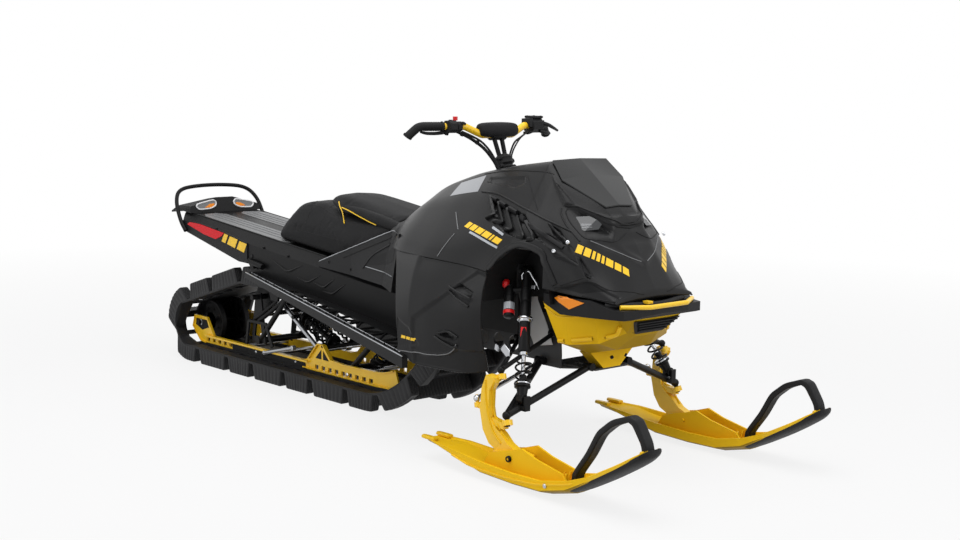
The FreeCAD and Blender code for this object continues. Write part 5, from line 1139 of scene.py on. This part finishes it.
deck_rows = np.array([(330, 66, 84, 20), (385, 72, 112.5, 17), (440, 71, 141, 14),
                      (500, 69, 173, 11), (548, 60, 203, 8),
                      (572, 44, 219, 6), (582, 26, 226, 4)], float)
deck_x, half, top, skirt = eased(deck_rows, [0.45] * 7, np.linspace(0, 6, 40)).T[..., None]
over = np.array([(-1.02, 0, -1), (-1.03, -1.5, 0), (-1.0, 1.0, 0), (-0.86, 1.5, 0),
                 (-0.76, -5.5, 0), (0.76, -5.5, 0),
                 (0.86, 1.5, 0), (1.0, 1.0, 0), (1.03, -1.5, 0), (1.02, 0, -1), (0.97, 0, -0.9),
                 (0.92, -4, 0), (0.70, -9, 0), (-0.70, -9, 0), (-0.92, -4, 0), (-0.97, 0, -0.9)]).T
deck_ring = np.stack([np.broadcast_to(1000 + deck_x, (40, 16)), ski_mid + half * over[0],
                      top + over[1] + skirt * over[2]], -1)
ribs = [slab([(0, 0), (0, 30), (6, 32), (13, 14), (13, 0)], (x, ski_mid + y, 36 + max(0, x - 1180) * 0.27),
             6, (0, way, 0), (0, 0, 1), ease=0.8) for x in range(1064, 1250, 26)
        for y, way in ((-31, 1), (31, -1))]
bolts = [turned((1000, ski_mid - 47, 85), (1000, ski_mid - 52, 85),
                [(-9, 3), (-9, 10.5), (0, 10.5), (2, 9), (2, 5), (-1, 4.5), (-1, 0.5)])]
rods = [turned((1208, ski_mid - 82, 46), (1208, ski_mid - 86, 46),
               [(-7, 2), (-7, 7.5), (1, 7.5), (2.5, 5.5), (2.5, 0.5)])]
for side, sign in (("right", 1), ("left", -1)):
    flip = np.array([1, sign, 1])
    turned_over = [(ring * flip, faces) for ring, faces in [(deck_ring, closed_rings(deck_ring[None]))] +
                   ribs]
    gather("ski_deck_" + side, turned_over, "yellow_plastic", body="ski_" + side)
    gather("ski_bolts_" + side, [(ring * flip, faces) for ring, faces in bolts],
           "black_metal", body="ski_" + side)
    gather("ski_screws_" + side, [(ring * flip, faces) for ring, faces in rods],
           "steel", body="ski_" + side)
ski_points = to_drawing([tuple(v.co) for v in frame["nodes"]["ski_right"].data.vertices])
ski_rear = ski_points[:, 0].min()
ski_rear_z = ski_points[ski_points[:, 0] < ski_rear + 12, 2].mean()
knobs = [turned((1562, y * 16 + ski_mid, 212), (1562, y * 30 + ski_mid, 212),
                [(0, 2), (0, 9), (11, 9), (14, 6), (14, 1)])
         for y in (-1, 1)]
prongs = [slab([(-8, -9), (-14, 0), (-8, 9), (14, 12), (60, 12), (60, -12), (14, -12)],
               (float(ski_rear), ski_mid + y, ski_rear_z),
               12, (1, 0, 0), (0, 1, 0), ease=3.0) for y in (-34, 34)]
for side, sign in (("right", 1), ("left", -1)):
    turned_over = [(points * np.array([1, sign, 1]), faces) for points, faces in knobs + prongs]
    gather("ski_ends_" + side, turned_over, "yellow_plastic", body="ski_" + side)
    for name, body, chains, wide in (("ski_seams_", "ski_",
                                      [[(740, -520, 40), (893, -521, 34), (1049, -524, 34),
                                        (1166, -524, 41), (1304, -522, 70), (1385, -494, 99)]], 6),
                                     ("spindle_ribs_", "spindle_",
                                      [[(848, -456, 322), (848, -456, 269), (862, -456, 203),
                                        (888, -456, 149), (928, -456, 118)],
                                       [(880, -452, 322), (868, -436, 270), (876, -434, 204),
                                        (918, -452, 166), (950, -444, 134)]], 8)):
        laid(name + side, frame["nodes"][body + side],
             [[(x, y * sign, z) for x, y, z in chain] for chain in chains],
             wide, 6, 1.0, "yellow_plastic", flat=True, body=body + side, both=False)
    # The skis take the yellow with painted shade on their down-facing sides.
    frame["nodes"]["ski_" + side].data.materials[0] = yellow_painted_underside_shade

# ---- handlebar pad ----
# A foam pad in a black cover, wrapped round the middle of the bar and tapered at
# both ends; rings of one eased outline, blown up a little as cloth.
bar_x, bar_z = 396.0, 1119.0
pad_line = np.array([(-22, -9), (24, -9), (31, 16), (20, 45), (-17, 46), (-28, 18), (-22, -9), (24, -9)],
                    float)
pad_edge = eased(pad_line, [0.35] * 8, np.linspace(0.5, 6.5, 49))[:-1]
pad_at = np.array([(-95, 0.45), (-94, 0.62), (-86, 0.84), (-66, 0.97), (0, 1.0),
                   (66, 0.97), (86, 0.84), (94, 0.62), (95, 0.45)])
pad_y, pad_wide = eased(pad_at, [0.4] * 9, np.linspace(0, 8, 60)).T
pad_centre = np.array([1.0, 19.0])
pad_flat = pad_centre + (pad_edge - pad_centre) * pad_wide[:, None, None]
pad_ring = np.stack([bar_x + pad_flat[..., 0], np.broadcast_to(pad_y[:, None], pad_flat.shape[:2]),
                     bar_z + pad_flat[..., 1]], -1)
bar_cover = stuffed("bar_foam_pad", "pad_foam", pad_ring, 0.004, 0.002)
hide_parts("bar_pad")
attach(bar_cover, "handlebar")

# ---- grips ----
# Ribbed rubber grips pushed on the bar's ends, which hook down at their tips, each
# with a collar and an end cap; bars along the run of the tube with turned parts.
grip_run = [(355, -228, 1150), (320, -317, 1150), (299, -353, 1112)]
grip_parts = [bar(grip_run, 16.0, sides=20, share=0.24, steps=16)]
grip_parts.append(turned((353, -232, 1150), (338, -270, 1150),
                         [(0, 12), (0, 18.5), (4, 19), (6, 18), (6, 12)]))
grip_parts += [turned((350, -240, 1150), (321, -312, 1149),
                      [(a, 13), (a + 1, 17.0), (a + 3, 17.0), (a + 4, 13)])
               for a in range(4, 66, 7)]
grip_parts.append(turned((299, -353, 1112), (295, -360, 1101),
                         [(-6, 10), (-6, 17.5), (0, 18), (3, 16), (4, 8), (1, 6), (1, 1)]))
gather("grip_rubbers", grip_parts, "rubber", body="handlebar", nodes=["grips"], both=True)

# ---- throttle side controls ----
# Clamped plastic housing with a thumb lever and a switch pod beside it;
# eased slabs round the right end of the bar.
housing = [slab([(-24, -19), (-27, 6), (-16, 21), (14, 23), (25, 12), (26, -10), (12, -23), (-12, -24)],
                (368, -190, 1150), 34, ease=3.0)]
housing.append(slab([(-17, -17), (-19, 8), (-10, 18), (10, 19), (20, 8), (20, -10), (8, -20)],
                    (373, -166, 1150), 22, ease=2.5))
housing.append(bar([(380, -172, 1158), (394, -168, 1164), (400, -160, 1158)], (8, 6, 4)))
housing.append(turned((368, -207, 1172), (368, -207, 1180), [(-4, 3), (-4, 8), (1, 8), (3, 6), (3, 0.5)]))
housing.append(bar([(356, -206, 1132), (340, -244, 1124), (326, -286, 1124), (318, -308, 1130)],
                   (8, 6.5, 6, 4.5)))
housing.append(turned((352, -208, 1140), (350, -212, 1112), [(0, 2), (0, 8), (20, 8), (23, 5), (23, 0.5)]))
gather("throttle_housing", housing, "black_plastic", body="handlebar", nodes=["throttle_block"])

# ---- brake side controls ----
# Cast master cylinder with its lid, a curved alloy lever and a heater switch;
# eased slabs and bars clamped round the left end of the bar.
brake = [slab([(-30, -8), (-27, 18), (-12, 30), (22, 30), (35, 14), (34, -14), (18, -27), (-16, -26)],
              (370, 238, 1150), 56, ease=4.0)]
brake.append(slab([(-20, 0), (-20, 30), (22, 34), (28, 22), (28, 0)], (372, 184, 1146), 18, ease=3.0))
brake.append(slab([(-26, -24), (26, -24), (26, 24), (-26, 24)], (376, 210, 1178),
                  9, (1, 0, 0), (0, 1, 0), ease=2.0))
brake += [turned((x, y, 1186), (x, y, 1190), [(-3, 1), (-3, 4), (1.5, 4), (2, 2.6), (2, 0.5)])
          for x in (358, 394) for y in (192, 228)]
brake.append(bar([(392, 234, 1160), (404, 262, 1153), (400, 296, 1140), (388, 328, 1130)],
                 (9, 7.5, 6, 4.5)))
brake.append(turned((394, 238, 1170), (394, 238, 1140), [(0, 2), (0, 8), (28, 8), (30, 5), (30, 0.5)]))
brake.append(bar([(398, 222, 1130), (406, 246, 1122), (400, 274, 1120)], (7, 6, 4)))
brake.append(bar([(392, 186, 1128), (384, 170, 1120), (372, 160, 1124)], (6, 5, 4)))
gather("brake_housing", brake, "black_plastic", body="handlebar", nodes=["brake_block"])

# ---- cables at the post ----
# Bundled rubber cables from both controls that run down into a lumpy boot round the
# post; bars along their runs and one turned part, fixed to the bar.
post_up = unit(np.array([-77.0, 0, 195]))
boot_at = np.array([450.0, 0, 984])
boot = [turned(boot_at, boot_at + post_up,
               [(0, 20), (4, 31), (14, 35), (22, 30), (30, 36), (42, 33), (50, 36), (60, 27), (66, 18)])]
boot += [turned(boot_at + post_up * h + np.array([x, y, 0]),
                boot_at + post_up * h + np.array([x, y * 1.3, 4]),
                [(-14, 4), (-13, 9), (0, 11), (10, 9), (12, 3)]) for h, x,
         y in ((22, 18, -30), (40, 8, 30), (52, 14, -22), (16, 10, 32))]
boot.append(bar([(352, -176, 1136), (380, -122, 1109), (406, -74, 1072), (428, -42, 1024), (440, -30, 990)],
                6.0, steps=12))
boot.append(bar([(388, 176, 1134), (404, 120, 1110), (412, 74, 1092), (428, 34, 1040), (440, 26, 1000)],
                3.6, steps=12))
boot.append(bar([(396, 150, 1124), (408, 104, 1102), (420, 60, 1060), (434, 30, 1004)], 3.0, steps=12))
boot += [turned(p, q, [(-5, 5), (-5, 8.6), (5, 8.6), (5, 5)])
         for p, q in (((366, -148, 1122), (380, -122, 1109)), ((393, -97, 1092), (406, -74, 1072)))]
gather("cable_bundle", boot, "rubber", body="handlebar")

# ---- slide rails ----
# Flanges along the alloy rails' edges, openings for the brackets and an eased rear
# loop round a dark slot; strips along chains that lie on the CAD rails.
def ribbon(chain, y_out, y_in, thick):
    """Flat strip along a chain of x and z, from y_out to y_in, thick below the chain."""
    line = np.array(chain, float)
    way = unit(np.gradient(line, axis=0))
    low = line - np.stack([-way[:, 1], way[:, 0]], 1) * thick
    corners = [np.stack([flat[:, 0], np.full(len(flat), y), flat[:, 1]], 1)
               for flat, y in ((line, y_out), (line, y_in), (low, y_in), (low, y_out))]
    ring = np.stack(corners, 1)
    return ring, closed_rings(ring[None])


bow = [(-150 + 326 * math.sin(a), 476 - 326 * math.cos(a)) for a in np.linspace(0, 0.37, 8)]
flanges = [ribbon([(-600, 137), (-536, 206), (-528, 208), (-494, 208), (-440, 152), (-352, 146)] + bow,
                  -142, -128, 4),
           ribbon([(-1340, 126), (-1393, 202), (-1496, 202), (-1512, 152), (-1446, 92), (-1400, 88)],
                  -138, -126, 4),
           ribbon([(-640, 95), (-60, 96), (60, 128)], -140, -130, 4)]
gather("rail_flanges", flanges, "yellow_metal", both=True)
openings = [slab(line, (0, -131.3, 0), 1.2, ease=0.4)
            for line in ([(-556, 142), (-515, 184), (-515, 142)], [(-503, 142), (-503, 180), (-462, 142)],
                         [(-1494, 160), (-1488, 190), (-1402, 190), (-1384, 158), (-1440, 140)])]
openings += [turned((x, -131.5, z), (x, -132.9, z), [(0, 1), (0, r), (1.2, r), (1.4, 1)], sides=16)
             for x, z, r in ((-510, 197, 6), (-1250, 112, 5), (-1080, 112, 5))]
gather("rail_openings", openings, "rubber", both=True)
masks = [slab([(-1186, 82), (-1190, 112), (-628, 112), (-620, 82)], (0, -130.8, 0), 1.6, ease=0.4)]
gather("slider_cheeks", masks, "rubber", both=True)
rail_bolts = [turned((x, y + 5, z), (x, y, z), [(-2, 3), (-2, r), (4, r), (6, r * 0.7), (6, 1)])
              for x, y, z, r in ((-1000, -132, 100, 9), (-340, -132, 104, 9), (-700, -132, 104, 7),
                                 (-1455, -134, 174, 15))]
gather("rail_bolts", rail_bolts, "steel", both=True)

# ---- skid springs and links ----
# Dampers wound with dark steel coils, a bright link on each side and the tubes that
# carry them, bolted between the rails and the arms of the skid.
spring_top, spring_low = np.array([-742.0, -60, 290]), np.array([-500.0, -60, 196])
spring_way = unit(spring_low - spring_top)
dark = [bar([spring_top, spring_low], 12),
        coil(spring_top + spring_way * 22, spring_low - spring_way * 30, 30, 5.0, 6.5),
        turned(spring_top, spring_low, [(16, 10), (16, 34), (22, 34), (22, 10)]),
        turned(spring_low, spring_top, [(24, 10), (24, 34), (30, 34), (30, 10)])]
front_top, front_low = np.array([-196.0, 0, 240]), np.array([-330.0, 0, 118])
front_way = unit(front_low - front_top)
single = [coil(front_top + front_way * 26, front_low - front_way * 34, 27, 4.6, 5.5)]
single += [turned(front_top, front_low, [(20, 8), (20, 31), (25, 31), (25, 8)]),
           turned(front_low, front_top, [(28, 8), (28, 31), (33, 31), (33, 8)])]
single += [bar([(x, -y, z), (x, y, z)], r) for x, y, z, r in ((-742, 118, 290, 9), (-500, 128, 194, 9))]
twins = [(ring * np.array([1, -1, 1]), faces) for ring, faces in dark]
gather("skid_coils", dark + twins + single, "black_metal")
links = [bar([(-826, -102, 330), (-700, -108, 258), (-556, -116, 180)], 10.0),
         bar([(-913, -146, 112), (-703, -146, 164)], 7.5),
         turned((-913, -132, 112), (-913, -152, 112), [(0, 2), (0, 10), (18, 10), (20, 6), (20, 1)]),
         turned((-703, -132, 164), (-703, -152, 164), [(0, 2), (0, 10), (18, 10), (20, 6), (20, 1)])]
gather("skid_links", links, "aluminium", both=True)
frames = [slab([(-1094, 112), (-1078, 226), (-1064, 240), (-929, 240), (-876, 142),
                (-892, 132), (-940, 226), (-1060, 226), (-1080, 112)], (0, -118, 0), 9, ease=1.5)]
frames += [bar([(-1002, -112, 238), (-900, -110, 300), (-823, -108, 350)], 10),
           bar([(-1040, -112, 238), (-938, -110, 300), (-862, -108, 350)], 8)]
gather("skid_frames", frames, "black_metal", both=True)

# ---- running board edges ----
# Light alloy beads along both rails of the open boards and a row of raised grips
# pressed in them; bars and turned teeth that stand on the boards.
board_out = [(-886, -260, 480), (-200, -356, 399.5), (388, -440, 330)]
board_in = [(-880, -238, 479.5), (-200, -330, 400), (384, -414, 330.5)]
gather("board_beads", [bar(board_out, 2.4, sides=8), bar(board_in, 1.8, sides=8)], "aluminium", both=True)
teeth = [turned((x, y, z - 3), (x, y, z + 4), [(0, 1), (0, 6), (5, 5), (7, 3.4), (6, 2.4), (6, 0.5)],
                sides=12)
         for x, y, z in ((-870 + 74 * k, -249 - 10.4 * k, 480 - 8.7 * k) for k in range(17))]
gather("board_grips", teeth, "black_metal", both=True)

# ---- bulkhead cheek and belly details ----
# A grey alloy cheek behind each shock, a ridge round the yellow belly pan and the
# bolts at its keel; eased slabs, bands laid on the pan and turned heads.
cheek_line = [(738, 690), (772, 690), (794, 560), (842, 480), (872, 412), (782, 396),
              (752, 446), (744, 520)]
cheeks = gather("bulkhead_cheeks", [slab(cheek_line, (0, -160, 0), 4, ease=1.2)], "aluminium", both=True)
cheeks.data.materials[0] = surface("cheek_grey", (0.48, 0.485, 0.49), 0.45, 0.2, 500.0, 0.15, 0.15)
belly = frame["nodes"]["belly_pan"]
laid("belly_ridge", belly, [[(958, -222, 446), (1023, -210, 455), (1074, -190, 466),
                             (1115, -160, 474), (1138, -126, 482),
                             (1156, -132, 512)]], 15, 12, 2.5, "yellow_plastic")
sticker("grille_surround", belly, [[(1172, -100, 552), (1172, 100, 552), (1150, 78, 476),
                                    (1164, -79, 486)]], "rubber", lift=0.9)
laid("belly_lip", belly, [[(906, -238, 556), (958, -236, 530), (1040, -236, 536),
                           (1118, -226, 548), (1150, -206, 560)]],
     7, 7, 0.5, "yellow_plastic")
keel_bolts = [turned(np.array(p) - np.array(w) * 4, p,
                     [(0, 1), (0, 6.5), (5, 6.5), (6.5, 4), (5, 3), (5, 0.5)])
              for p, w in (((998, -40, 352), (0.75, -0.5, -0.4)), ((1036, -36, 378), (0.8, -0.4, -0.4)))]
gather("keel_bolts", keel_bolts, "black_metal", both=True)
lamps = frame["nodes"]["headlamps"]
reflectors = sticker("lamp_reflectors", lamps,
                     [[(998, -170, 850), (1020, -142, 850), (1024, -140, 842), (1002, -172, 840)],
                      [(1002, -172, 836), (1024, -142, 838), (1026, -142, 834), (1006, -172, 831)]],
                     "clear_lens")
reflectors.data.materials[0] = surface("reflector_grey", (0.13, 0.133, 0.14), 0.25, 0.2, 80.0, 0.05, 0.05)
gather("nose_filler", [bar([(1150, -204, 588), (1188, -164, 590), (1214, 0, 582), (1190, 140, 590)], 11)],
       "black_plastic")
gather("bar_tab", [slab([(-12, -4), (-12, 4), (12, 4), (12, -4)], (1204, -66, 597),
                        26, (0, 1, 0), (0, 0, 1), ease=0.8)], "yellow_metal")
# A dark sheet across the inside of the nose: painted shade that closes the view through the gap under the
# hood.
gather("nose_shade_sheet", [slab([(-186, 574), (-186, 640), (186, 640), (186, 574)],
                              (1132, 0, 0), 5, (0, 1, 0), (0, 0, 1))], "rubber")

# ---- grab hoop and wheel webs ----
# The painted steel tube of the tail hoop with its plugged ends, and plastic webs that
# close the wheels between their spokes; one rounded bar and turned discs.
hoop_side = 228.2
half_hoop = [(-1420, -hoop_side, 610), (-1466, -hoop_side, 654), (-1512, 5 - hoop_side, 738),
             (-1552, -182, 789), (-1566, -70, 801)]
hoop_run = half_hoop + [(x, -y, z) for x, y, z in half_hoop[::-1]]
stub_side = 226.2
plugs = [bar([(-896, side * stub_side, 521), (-806, side * stub_side, 509)], 12) for side in (-1, 1)]
gather("grab_hoop", [bar(hoop_run, 9.0, sides=20, share=0.49, steps=12)] + plugs,
       "black_metal", nodes=["rear_bumper"])
webs = [turned((x, -74.5, z), (x, -55.0, z), [(0, r0), (0, r1), (3, r1), (3, r0)], sides=36)
        for x, z, r0, r1 in ((-1455, 174.25, 68, 88), (-1010, 345, 30, 57), (-1455, 174.25, 20, 40))]
webs += [turned((-1455 + 62 * math.cos(a), -77, 174.25 + 62 * math.sin(a)),
                (-1455 + 62 * math.cos(a), -70, 174.25 + 62 * math.sin(a)),
                [(0, 1), (0, 5), (3, 5), (4, 3), (4, 0.5)], sides=10)
         for a in np.arange(8) * math.pi / 4 + 0.39]
gather("wheel_webs", webs, "black_metal", both=True)
sticker("side_reflectors", frame["nodes"]["nose_shelf"],
        [[(970, -257, 599), (1004, -262, 611), (1093, -243, 594), (1036, -254, 567)]],
        "orange_lens", lift=3.0)
